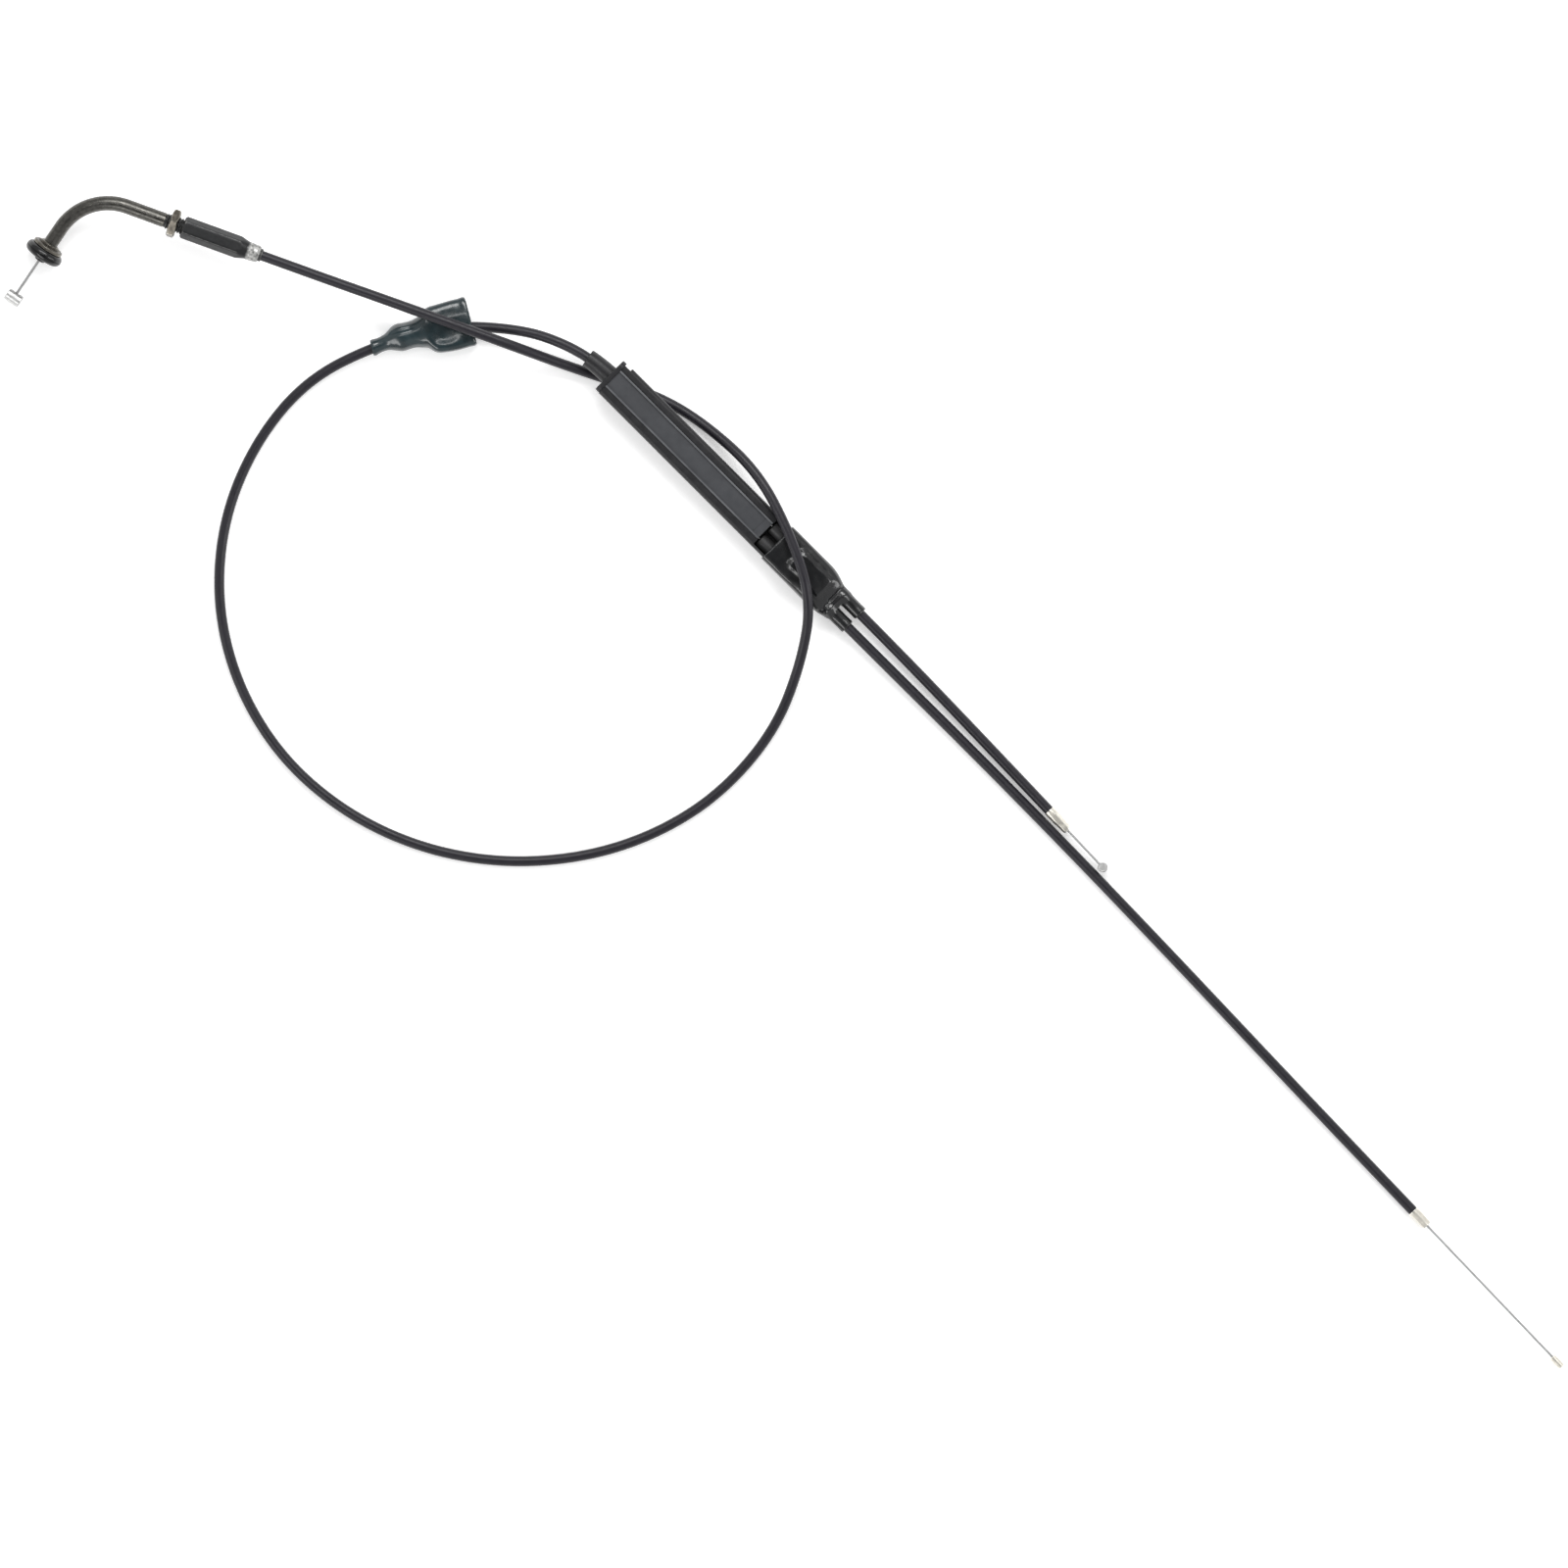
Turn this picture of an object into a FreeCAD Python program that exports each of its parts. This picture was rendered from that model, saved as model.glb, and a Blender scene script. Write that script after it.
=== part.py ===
import FreeCAD, Part
import math
import os
import re
import Sketcher

# Two-stroke motorcycle throttle cable: one cable from the twist grip into a splitter box, and two
# cables out of it, to the carburettor and to the oil pump.  Millimetres, +Z up, floor at z = 0.
# +X runs along the splitter towards the carburettor end.  The origin is on the floor, under the
# middle of the box round the rigid pieces (elbow, adjuster and splitter).

Vector = FreeCAD.Vector
UP = Vector(0, 0, 1)
DOC = FreeCAD.newDocument("ThrottleCable")
NODES = []

SIZES = (
    # cable construction, diameters
    ("sheath_outer", 5.0, "plastic jacket, outside"),
    ("sheath_inner", 4.2, "plastic jacket, inside"),
    ("conduit_outer", 3.9, "wound steel conduit, outside"),
    ("conduit_inner", 2.4, "wound steel conduit, inside"),
    ("throttle_wire", 1.5, "inner wire of the throttle cable"),
    ("lower_wire", 1.2, "inner wires of the two lower cables"),
    ("wire_play", 0.1, "extra diameter of a hole that a wire is soldered in"),
    ("fit_gap", 0.05, "gap between two pieces that are pushed together"),
    # where the straight arm of the elbow lies
    ("nut_x", -163.7, "centre of the lock nut"),
    ("nut_y", -12.2, "centre of the lock nut"),
    ("arm_height", 16.45, "height of the arm's axis above the floor"),
    ("arm_heading", 25.0, "degrees from +X, looking from the nut to the cable"),
    # elbow
    ("elbow_outer", 7.2, "steel tube, outside diameter"),
    ("elbow_inner", 4.6, "steel tube, inside diameter"),
    ("elbow_radius", 28.0, "bend radius of the centreline"),
    ("elbow_turn", 75.7, "degrees of bend"),
    ("elbow_roll", 10.3, "degrees that the bend's plane dips below level"),
    ("elbow_corner", 45.9, "nut centre to the corner where the two axes meet"),
    ("elbow_inside", 18.0, "nut centre to the tube's threaded end"),
    ("thread_crest", 7.9, "thread, outside diameter"),
    ("thread_root", 6.7, "thread, root diameter"),
    ("thread_pitch", 1.25, "thread pitch"),
    ("thread_turns", 18, "number of thread crests drawn"),
    ("leg_end", 40.1, "corner to the end of the tube"),
    ("flange_outer", 15.6, "steel flange washer, diameter"),
    ("flange_thick", 1.8, "steel flange washer, thickness"),
    ("flange_place", 32.2, "corner to the flange's elbow side"),
    ("grommet_outer", 19.4, "rubber ring, diameter"),
    ("grommet_thick", 5.4, "rubber ring, thickness"),
    ("grommet_waist", 14.0, "diameter at the bottom of the panel groove"),
    ("groove_wide", 1.0, "width of the panel groove"),
    ("bush_outer", 4.4, "nylon end bush, diameter of its stem"),
    ("bush_head", 5.6, "nylon end bush, diameter of its head"),
    ("bush_bore", 2.0, "nylon end bush, bore"),
    ("bush_stem", 6.0, "nylon end bush, length inside the tube"),
    ("bush_nose", 1.2, "nylon end bush, length outside the tube"),
    # throttle nipple and its wire
    ("throttle_nipple_place", 63.7, "corner to the nipple's centre"),
    ("throttle_nipple_outer", 6.0, "barrel diameter"),
    ("throttle_nipple_long", 8.0, "barrel length"),
    ("throttle_nipple_bevel", 0.4, "bevel of the barrel's rims"),
    ("throttle_wire_depth", 2.2, "how far the wire goes into the barrel"),
    ("throttle_tail_place", 28.6, "corner to the hidden end of the sliding wire"),
    # lock nut and adjuster sleeve, measured along the arm from the nut's centre
    ("nut_flats", 13.0, "lock nut across flats"),
    ("nut_thick", 4.0, "lock nut thickness"),
    ("nut_bore", 8.2, "lock nut bore"),
    ("nut_turned", 82.0, "degrees about its axis, which put one corner nearly up"),
    ("root_three", 1.7320508, "a hexagon's width over flats, by its corner radius"),
    ("sleeve_start", 4.7, "start of the adjuster sleeve"),
    ("sleeve_shoulder", 33.5, "start of its taper"),
    ("sleeve_collar", 38.0, "start of its round collar"),
    ("sleeve_end", 44.4, "end of its round collar"),
    ("sleeve_flats", 10.0, "across flats"),
    ("sleeve_corners", 11.2, "across the rounded corners"),
    ("collar_outer", 8.8, "round collar diameter"),
    ("sleeve_bore", 8.3, "threaded bore"),
    ("sleeve_bore_end", 30.0, "end of the threaded bore"),
    ("collar_bore", 7.0, "bore for the cable's ferrule"),
    ("ferrule_start", 34.0, "cable ferrule, hidden end"),
    ("ferrule_seat", 36.4, "cable ferrule, where the jacket stops"),
    ("ferrule_end", 45.9, "cable ferrule, visible end"),
    ("ferrule_outer", 6.6, "cable ferrule diameter"),
    # splitter box: its centre, its tilt, and its parts in its own across, up and along
    ("splitter_x", 96.8, "centre of the box"),
    ("splitter_y", 86.1, "centre of the box"),
    ("splitter_z", 11.0, "height of the box's axis at its centre"),
    ("splitter_tilt", 2.1, "degrees, throttle end up"),
    ("case_wide", 20.0, "case, across"),
    ("case_high", 12.0, "case, up"),
    ("case_start", -55.3, "case, along"),
    ("case_end", 66.0, "case, along"),
    ("case_round", 2.2, "radius of the long outer edges"),
    ("notch_long", 3.6, "notch in one wall beside the cap's flange, along"),
    ("cavity_wide", 17.2, "inside, across"),
    ("cavity_floor", -4.2, "inside, lowest"),
    ("cavity_roof", 3.8, "underside of the shoulders"),
    ("slot_wide", 11.2, "opening between the shoulders"),
    ("window_start", 50.4, "where the shoulders stop"),
    ("lid_end", 50.0, "lid, along"),
    ("lid_wide", 10.9, "lid panel, across"),
    ("lid_foot_wide", 16.8, "lid foot under the shoulders, across"),
    ("lid_foot_low", 2.6, "lid foot, underside"),
    ("lid_foot_top", 3.6, "lid foot, top"),
    ("lid_top", 5.5, "lid panel, top of its tray"),
    ("lid_rib_top", 6.4, "lid ribs, top"),
    ("lid_rib_wide", 0.9, "lid ribs, across"),
    ("cap_flange", 2.4, "top cap flange, along"),
    ("cap_flange_wide", 19.6, "top cap flange, across"),
    ("cap_flange_high", 13.0, "top cap flange, up"),
    ("cap_plug_end", -47.0, "top cap plug, along"),
    ("cap_plug_wide", 16.8, "top cap plug, across"),
    ("cap_plug_low", -4.0, "top cap plug, underside"),
    ("cap_plug_top", 2.3, "top cap plug, top"),
    ("neck_outer", 9.6, "neck diameter"),
    ("neck_bore", 5.4, "neck bore"),
    ("cap_bore", 6.4, "top cap bore round the ferrule"),
    ("throttle_end", -50.0, "where the throttle jacket ends, along"),
    ("cap_ferrule_start", -56.5, "ferrule on that end, along"),
    ("cap_ferrule_end", -48.6, "ferrule on that end, along"),
    ("cap_ferrule_outer", 6.2, "ferrule on that end, diameter"),
    ("slider_place", -6.0, "slider centre, along"),
    ("slider_long", 16.0, "slider, along"),
    ("slider_wide", 16.6, "slider, across"),
    ("slider_low", -3.9, "slider, underside"),
    ("slider_top", 2.3, "slider, top"),
    ("tail_end", -52.0, "hidden end of the slider's throttle wire, along"),
    ("head_end", 71.0, "hidden end of the slider's lower wires, along"),
    ("inner_nipple_outer", 4.0, "barrel nipples in the slider, diameter"),
    ("inner_nipple_long", 5.0, "barrel nipples in the slider, length"),
    ("pocket_wide", 4.3, "slider pocket, across"),
    ("pocket_long", 5.4, "slider pocket, along"),
    ("pocket_floor", -2.15, "slider pocket, lowest"),
    ("pocket_wall", 1.6, "slider wall that the nipple pulls on"),
    ("notch_wide", 1.9, "slider notch for a wire, across"),
    ("notch_floor", -0.95, "slider notch, lowest"),
    ("carb_across", -4.8, "carburettor cable, across"),
    ("pump_across", 4.2, "oil pump cable, across"),
    ("plug_start", 58.6, "lower end plug, along"),
    ("lower_ferrule_start", 51.0, "ferrules in the plug, along"),
    ("lower_ferrule_head", 58.5, "end of their heads, along"),
    ("lower_ferrule_end", 70.0, "ferrules in the plug, along"),
    ("lower_head_outer", 7.2, "ferrule heads, diameter"),
    ("lower_ferrule_outer", 6.2, "ferrule bodies, diameter"),
    ("lower_jacket_start", 60.5, "where the lower jackets start, along"),
    ("boot_start", 58.0, "lower boot rim, along"),
    ("boot_shoulder", 97.0, "lower boot shoulder, along"),
    ("boot_wide", 22.0, "lower boot, across"),
    ("boot_high", 15.0, "lower boot, up"),
    ("boot_case_end", 67.0, "end of the pocket for the case, along"),
    ("spout_end", 112.0, "end of the spouts, along"),
    ("spout_outer", 7.2, "spouts, diameter"),
    ("boot_round", 3.0, "edge radius"),
    # loose upper boot, in its own across, up and along
    ("loose_x", -52.9, "end of its neck"),
    ("loose_y", 13.5, "end of its neck"),
    ("loose_z", 6.98, "end of its neck"),
    ("loose_heading", 59.7, "degrees from +X"),
    ("loose_rise", 1.0, "degrees above level"),
    ("loose_neck_outer", 8.2, "neck diameter"),
    ("loose_neck_bore", 7.0, "neck bore"),
    ("loose_neck_long", 10.0, "neck length"),
    ("loose_barrel_outer", 13.4, "barrel diameter"),
    ("loose_barrel_bore", 10.4, "barrel bore"),
    ("loose_barrel_end", 30.0, "barrel end, along"),
    ("loose_mouth_end", 50.0, "mouth, along"),
    ("loose_mouth_wide", 24.2, "mouth, across"),
    ("loose_mouth_high", 15.0, "mouth, up"),
    ("loose_cavity_wide", 21.4, "mouth cavity, across"),
    ("loose_cavity_high", 12.4, "mouth cavity, up"),
    ("loose_cavity_deep", 18.0, "mouth cavity, along"),
    # lower ends, measured along each cable from where its jacket ends
    ("end_ferrule_outer", 5.5, "end ferrules, diameter"),
    ("end_ferrule_lap", 3.0, "length over the jacket"),
    ("end_crimp_outer", 4.7, "crimped part, diameter"),
    ("carb_ferrule_long", 7.0, "carburettor ferrule past the jacket"),
    ("carb_crimp_start", 2.6, "start of its crimped tip"),
    ("pump_ferrule_long", 10.4, "oil pump ferrule past the jacket"),
    ("pump_crimp_start", 3.4, "start of its narrow part"),
    ("carb_nipple_place", 99.2, "carburettor nipple centre"),
    ("carb_nipple_outer", 3.4, "carburettor nipple diameter"),
    ("carb_nipple_long", 6.6, "carburettor nipple length"),
    ("pump_nipple_place", 35.2, "oil pump nipple centre"),
    ("pump_nipple_outer", 5.0, "oil pump nipple diameter"),
    ("pump_nipple_long", 5.2, "oil pump nipple length"),
    ("pump_nipple_bevel", 0.5, "bevel of its rims"),
    ("pump_wire_depth", 1.7, "how far the wire goes into it"),
    ("wire_tail", 12.0, "hidden length of each sliding lower wire, back from the jacket's end"),
    ("run_gap", 28.0, "length of each lower cable that its fixed wire leaves free at both ends"),
    ("lower_conduit_reach", 5.2, "how far the lower conduits go on past their jackets"),
    ("neck_wire_gap", 10.0, "throttle cable's fixed wire, to the bend in the splitter's neck"),
    ("arm_wire_gap", 3.6, "throttle cable's fixed wire, to the start of the elbow's bend"),
    ("elbow_wire_gap", 24.0, "degrees of the bend that the elbow's fixed wire leaves free"),
)

# Routes of the three jackets, as the corners of straight runs that tangent arcs join.
THROTTLE_ROUTE = (
    (-130.6, 3.2, 16.45), (-94.8, 19.9, 16.45), (-57.0, 38.0, 18.4), (-9.0, 60.4, 18.4),
    (27.0, 77.4, 2.7), (61.0, 95.0, 2.6), (88.0, 102.2, 2.6), (124.0, 104.0, 17.0),
    (158.0, 93.0, 20.6), (187.0, 78.0, 20.6), (205.0, 53.0, 8.0), (219.5, 20.0, 2.6),
    (222.5, -20.0, 2.6), (214.5, -56.0, 2.6), (197.5, -89.5, 2.6), (170.5, -120.5, 2.6),
    (136.0, -144.0, 2.6), (97.0, -157.5, 2.6), (56.0, -160.0, 2.6), (15.5, -149.5, 2.6),
    (-19.5, -127.5, 2.6), (-46.0, -95.5, 2.6), (-60.8, -58.0, 2.6), (-64.0, -20.0, 3.6),
    (-52.0, 16.0, 7.0), (-33.0, 48.5, 8.0), (-7.0, 71.5, 10.8), (13.0, 81.5, 12.7),
    (31.8, 86.1, 13.38), (46.8, 86.1, 12.83),
)
CARB_ROUTE = (
    (157.3, 81.3, 8.78), (226.7, 81.3, 6.24), (297.0, 81.7, 2.9), (366.0, 81.1, 2.8),
    (434.0, 79.6, 2.8), (501.0, 77.6, 2.8), (557.0, 76.1, 2.8), (609.6, 74.9, 2.8),
)
PUMP_ROUTE = (
    (157.3, 90.3, 8.78), (222.0, 90.3, 6.41), (286.0, 89.2, 2.7), (345.0, 87.5, 3.7),
)


# ---- the sheet of sizes, and formulas that read it ------------------------------------------------

def make_sheet():
    """Spreadsheet with one named cell for each driving size."""
    sheet = DOC.addObject("Spreadsheet::Sheet", "Sizes")
    for row, (alias, value, note) in enumerate(SIZES, start=1):
        sheet.set("A%d" % row, note)
        sheet.set("B%d" % row, str(value))
        sheet.setAlias("B%d" % row, alias)
    DOC.recompute()
    return sheet


SHEET = make_sheet()


def size(alias):
    """A size read from the sheet, for what has to be worked out here."""
    return float(SHEET.get(alias))


def formula(text):
    """A sum of sheet names, written for setExpression."""
    return re.sub(r"[a-z][a-z_]+", lambda word: "Sizes." + word.group(0), text)


def bind(piece, **sums):
    """Bind properties of a piece to sums of sheet names."""
    for name, text in sums.items():
        piece.setExpression(name, formula(text))
    return piece


def bind_place(piece, across="0", up="0", along="0"):
    """Bind where a primitive stands inside its sub-part."""
    for axis, text in (("x", across), ("y", up), ("z", along)):
        piece.setExpression("Placement.Base." + axis, formula(text))
    return piece


# ---- frames: local Z runs along the piece, local Y is up ------------------------------------------

def frame(origin, along, up=UP):
    """Placement with local Z along a direction and local Y as near to up as it can be."""
    along = Vector(along).normalize()
    side = up.cross(along).normalize()
    turn = FreeCAD.Rotation(side, along.cross(side), along, "ZXY")
    return FreeCAD.Placement(origin, turn)


def heading(degrees, rise=0.0):
    """Unit vector at a heading from +X and a rise above level."""
    flat = math.cos(math.radians(rise))
    angle = math.radians(degrees)
    return Vector(flat * math.cos(angle), flat * math.sin(angle), math.sin(math.radians(rise)))


def arm_frame():
    """At the lock nut, local Z towards the cable."""
    nut = Vector(size("nut_x"), size("nut_y"), size("arm_height"))
    return frame(nut, heading(size("arm_heading")))


def elbow_frame():
    """At the lock nut, local X towards the bend, local Y towards the inside of the bend."""
    outward = heading(size("arm_heading") + 180)
    level = heading(size("arm_heading") - 90)
    roll = math.radians(size("elbow_roll"))
    inward = level * math.cos(roll) - UP * math.sin(roll)
    turn = FreeCAD.Rotation(outward, inward, outward.cross(inward), "XYZ")
    return FreeCAD.Placement(arm_frame().Base, turn)


def leg_frame():
    """At the corner where the elbow's two axes meet, local Z down the leg."""
    elbow = elbow_frame()
    turn = math.radians(size("elbow_turn"))
    leg = elbow.Rotation.multVec(Vector(math.cos(turn), math.sin(turn), 0))
    return frame(elbow.multVec(Vector(size("elbow_corner"), 0, 0)), leg)


def splitter_frame():
    """At the box's centre, local Z along the box, local X across it."""
    centre = Vector(size("splitter_x"), size("splitter_y"), size("splitter_z"))
    return frame(centre, heading(0, -size("splitter_tilt")))


def beside(across):
    """The splitter's frame, moved across to one of its cables; "0" is the throttle cable."""
    place = splitter_frame()
    if across != "0":
        place.Base = place.multVec(Vector(size(across), 0, 0))
    return place


def loose_frame():
    """At the end of the loose boot's neck, local Z towards its mouth."""
    neck = Vector(size("loose_x"), size("loose_y"), size("loose_z"))
    return frame(neck, heading(size("loose_heading"), size("loose_rise")))


def end_frame(route):
    """Where a lower jacket ends, local Z on along the wire."""
    last, before = Vector(*route[-1]), Vector(*route[-2])
    return frame(last, last - before)


# ---- building blocks ------------------------------------------------------------------------------

def node(piece, name, place):
    """Name a finished sub-part, and put it where it belongs."""
    piece.Label = name
    piece.Placement = place
    NODES.append(piece)
    return piece


def primitive(kind, name, across="0", up="0", along="0", **sizes):
    """Part primitive whose sizes and place are sums of sheet names."""
    piece = bind(DOC.addObject("Part::" + kind, name), **sizes)
    return bind_place(piece, across, up, along)


def box(name, wide, low, top, start, end, across="0"):
    """Box centred across, from low to top and from start to end."""
    return primitive(
        "Box", name, across="%s - (%s) / 2" % (across, wide), up=low, along=start,
        Length=wide, Width="%s - (%s)" % (top, low), Height="%s - (%s)" % (end, start),
    )


def rod(name, diameter, start, end, across="0"):
    """Round bar along local Z."""
    return primitive(
        "Cylinder", name, across=across, along=start,
        Radius="(%s) / 2" % diameter, Height="%s - (%s)" % (end, start),
    )


def fuse(name, *pieces):
    """Union of primitives."""
    piece = DOC.addObject("Part::MultiFuse", name)
    piece.Shapes = list(pieces)
    return piece


def cut(name, base, *tools):
    """Base less its tools."""
    piece = DOC.addObject("Part::Cut", name)
    piece.Base = base
    piece.Tool = tools[0] if len(tools) == 1 else fuse(name + "_tools", *tools)
    return piece


def common(name, first, second):
    """What two shapes share."""
    piece = DOC.addObject("Part::Common", name)
    piece.Base, piece.Tool = first, second
    return piece


def origin_plane(body, role):
    """A body's own origin plane."""
    return next(item for item in body.Origin.OriginFeatures if item.Role == role)


def polygon_sketch(body, name, role, corners):
    """Closed outline on an origin plane, each corner held by two sums of sheet names."""
    sketch = body.newObject("Sketcher::SketchObject", name)
    sketch.AttachmentSupport = (origin_plane(body, role), [""])
    sketch.MapMode = "FlatFace"
    count = len(corners)
    seeds = [heading(360.0 * i / count) * 10 + Vector(20, 20, 0) for i in range(count)]
    seeds = [Vector(seed.x, seed.y, 0) for seed in seeds]
    for i in range(count):
        sketch.addGeometry(Part.LineSegment(seeds[i], seeds[(i + 1) % count]), False)
    for i in range(count):
        sketch.addConstraint(Sketcher.Constraint("Coincident", i, 2, (i + 1) % count, 1))
    for i, corner in enumerate(corners):
        for kind, axis, text in zip(("DistanceX", "DistanceY"), (-2, -1), corner):
            hold_corner(sketch, i, kind, axis, text)
    return sketch


def hold_corner(sketch, line, kind, axis, text):
    """Hold one coordinate of a line's first point: on an axis, or at a sum of sheet names."""
    if text == "0":
        sketch.addConstraint(Sketcher.Constraint("PointOnObject", line, 1, axis))
        return
    index = sketch.addConstraint(Sketcher.Constraint(kind, -1, 1, line, 1, 1.0))
    sketch.setExpression("Constraints[%d]" % index, formula(text))


def turned(name, corners):
    """Turned piece: an outline of (radius, height) corners, revolved about local Z."""
    body = DOC.addObject("PartDesign::Body", name)
    sketch = polygon_sketch(body, name + "_outline", "XZ_Plane", corners)
    revolution = body.newObject("PartDesign::Revolution", name + "_turn")
    revolution.Profile = sketch
    revolution.ReferenceAxis = (sketch, ["V_Axis"])
    revolution.Angle = 360
    return body


def plain_bar(name, diameter, start, end):
    """Turned round bar, for a wire that is a sub-part of its own."""
    rim = "(%s) / 2" % diameter
    return turned(name, [("0", start), (rim, start), (rim, end), ("0", end)])


def ring_corners(bore, outer, start, end, bevel="0"):
    """Outline of a ring or a plain bush, with bevelled outer edges."""
    inner, rim = "(%s) / 2" % bore, "(%s) / 2" % outer
    low, high = "(%s) + %s" % (start, bevel), "(%s) - %s" % (end, bevel)
    shy = "%s - %s" % (rim, bevel)
    return [(inner, start), (shy, start), (rim, low), (rim, high), (shy, end), (inner, end)]


def extruded(name, corners, length):
    """Body with an outline in local X and Y, padded along local Z."""
    body = DOC.addObject("PartDesign::Body", name)
    sketch = polygon_sketch(body, name + "_outline", "XY_Plane", corners)
    pad = body.newObject("PartDesign::Pad", name + "_pad")
    pad.Profile = sketch
    bind(pad, Length=length)
    DOC.recompute()
    return body, pad


def round_edges(body, base, name, radius, test):
    """Fillet the edges of a feature that pass a test on their two ends."""
    names = []
    for index, edge in enumerate(base.Shape.Edges, start=1):
        ends = [vertex.Point for vertex in edge.Vertexes]
        if len(ends) == 2 and test(*ends):
            names.append("Edge%d" % index)
    fillet = body.newObject("PartDesign::Fillet", name)
    fillet.Base = (base, names)
    bind(fillet, Radius=radius)
    body.Tip = fillet
    return fillet


# ---- cords: straight runs and tangent arcs --------------------------------------------------------

ARC_SHARE = 0.45


def arc_rows(route):
    """Tangent length, arc radius and turn at each inner corner of a route."""
    rows = []
    for before, here, after in zip(route, route[1:], route[2:]):
        run_in, run_out = Vector(*here) - Vector(*before), Vector(*after) - Vector(*here)
        turn = run_in.getAngle(run_out)
        tangent = ARC_SHARE * min(run_in.Length, run_out.Length)
        rows.append((tangent, tangent / math.tan(turn / 2), turn))
    return rows


def arc_ends(route, corner, tangent, radius, turn):
    """First, middle and last point of the arc at one corner."""
    here = Vector(*route[corner])
    run_in = (here - Vector(*route[corner - 1])).normalize()
    run_out = (Vector(*route[corner + 1]) - here).normalize()
    inward = (run_out - run_in).normalize()
    middle = here + inward * (radius / math.cos(turn / 2) - radius)
    return here - run_in * tangent, middle, here + run_out * tangent


def rounded_path(route, skip_start=0.0, skip_end=0.0):
    """Wire along a route; a skip shortens the first or last run, and a negative one extends it."""
    first, second = Vector(*route[0]), Vector(*route[1])
    last, before = Vector(*route[-1]), Vector(*route[-2])
    here = first + (second - first).normalize() * skip_start
    edges = []
    for corner, row in enumerate(arc_rows(route), start=1):
        enter, middle, leave = arc_ends(route, corner, *row)
        edges.append(Part.LineSegment(here, enter).toShape())
        edges.append(Part.Arc(enter, middle, leave).toShape())
        here = leave
    finish = last - (last - before).normalize() * skip_end
    edges.append(Part.LineSegment(here, finish).toShape())
    return Part.Wire(edges)


def sweep(path, diameter):
    """Solid round bar along a path."""
    edge = path.Edges[0]
    start, tangent = edge.valueAt(edge.FirstParameter), edge.tangentAt(edge.FirstParameter)
    ring = Part.Wire(Part.Circle(start, tangent, diameter / 2).toShape())
    return path.makePipeShell([ring], True, False)


def cord(name, route, outer, inner=None, skip_start=0.0, skip_end=0.0):
    """Tube or bar along a route, with its volume compared with its section times its length."""
    path = rounded_path(route, skip_start, skip_end)
    shape = sweep(path, size(outer))
    section = math.pi * size(outer) ** 2 / 4
    if inner:
        shape = shape.cut(sweep(path, size(inner)))
        section -= math.pi * size(inner) ** 2 / 4
    expected = section * path.Length
    print("%s: length %.1f mm, volume ratio %.4f" % (name, path.Length, shape.Volume / expected))
    if abs(shape.Volume / expected - 1) > 0.01:
        raise RuntimeError(name + " has a bad volume")
    piece = DOC.addObject("Part::Feature", name)
    piece.Shape = shape
    return node(piece, name, FreeCAD.Placement())


def print_radii(name, route):
    """The arc radii of a route."""
    print(name, "arc radii:", " ".join("%.0f" % row[1] for row in arc_rows(route)))


# ---- throttle end: elbow, lock nut, adjuster -------------------------------------------------------

def bend_start():
    """Distance from the nut's centre to the start of the bend."""
    turn = math.radians(size("elbow_turn"))
    return size("elbow_corner") - size("elbow_radius") * math.tan(turn / 2)


def elbow_stretch(name, diameter, start, leg):
    """Straight, bend and straight of the elbow, from start on the arm to leg past the corner."""
    tangent = size("elbow_corner") - bend_start()
    parts = []
    arm = bind(DOC.addObject("Part::Cylinder", name + "_arm"), Radius="(%s) / 2" % diameter)
    arm.Height = bend_start() + start
    arm.Placement = frame(Vector(-start, 0, 0), Vector(1, 0, 0))
    parts.append(arm)
    bend = DOC.addObject("Part::Torus", name + "_bend")
    bind(bend, Radius1="elbow_radius", Radius2="(%s) / 2" % diameter, Angle3="elbow_turn")
    centre = Vector(bend_start(), size("elbow_radius"), 0)
    bend.Placement = FreeCAD.Placement(centre, FreeCAD.Rotation(UP, -90))
    parts.append(bend)
    if leg > tangent:
        turn = size("elbow_turn")
        foot = Vector(size("elbow_corner"), 0, 0) + heading(turn) * tangent
        end = bind(DOC.addObject("Part::Cylinder", name + "_leg"), Radius="(%s) / 2" % diameter)
        end.Height = leg - tangent
        end.Placement = frame(foot, heading(turn))
        parts.append(end)
    return fuse(name, *parts)


def thread_body():
    """Threaded end of the elbow, its thread drawn as rings: one groove, repeated at the pitch."""
    body = turned("thread", [
        ("0", "0"), ("thread_crest / 2", "0"),
        ("thread_crest / 2", "thread_pitch * thread_turns"), ("0", "thread_pitch * thread_turns"),
    ])
    sketch = polygon_sketch(body, "thread_notch", "XZ_Plane", [
        ("thread_crest / 2 + 0.2", "thread_pitch * 0.08"), ("thread_root / 2", "thread_pitch * 0.42"),
        ("thread_root / 2", "thread_pitch * 0.58"), ("thread_crest / 2 + 0.2", "thread_pitch * 0.92"),
    ])
    groove = body.newObject("PartDesign::Groove", "thread_groove")
    groove.Profile = sketch
    groove.ReferenceAxis = (sketch, ["V_Axis"])
    groove.Angle = 360
    DOC.recompute()
    pattern = body.newObject("PartDesign::LinearPattern", "thread_pattern")
    pattern.Originals = [groove]
    pattern.Direction = (sketch, ["V_Axis"])
    bind(pattern, Length="thread_pitch * (thread_turns - 1)", Occurrences="thread_turns")
    body.Tip = pattern
    return body


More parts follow.
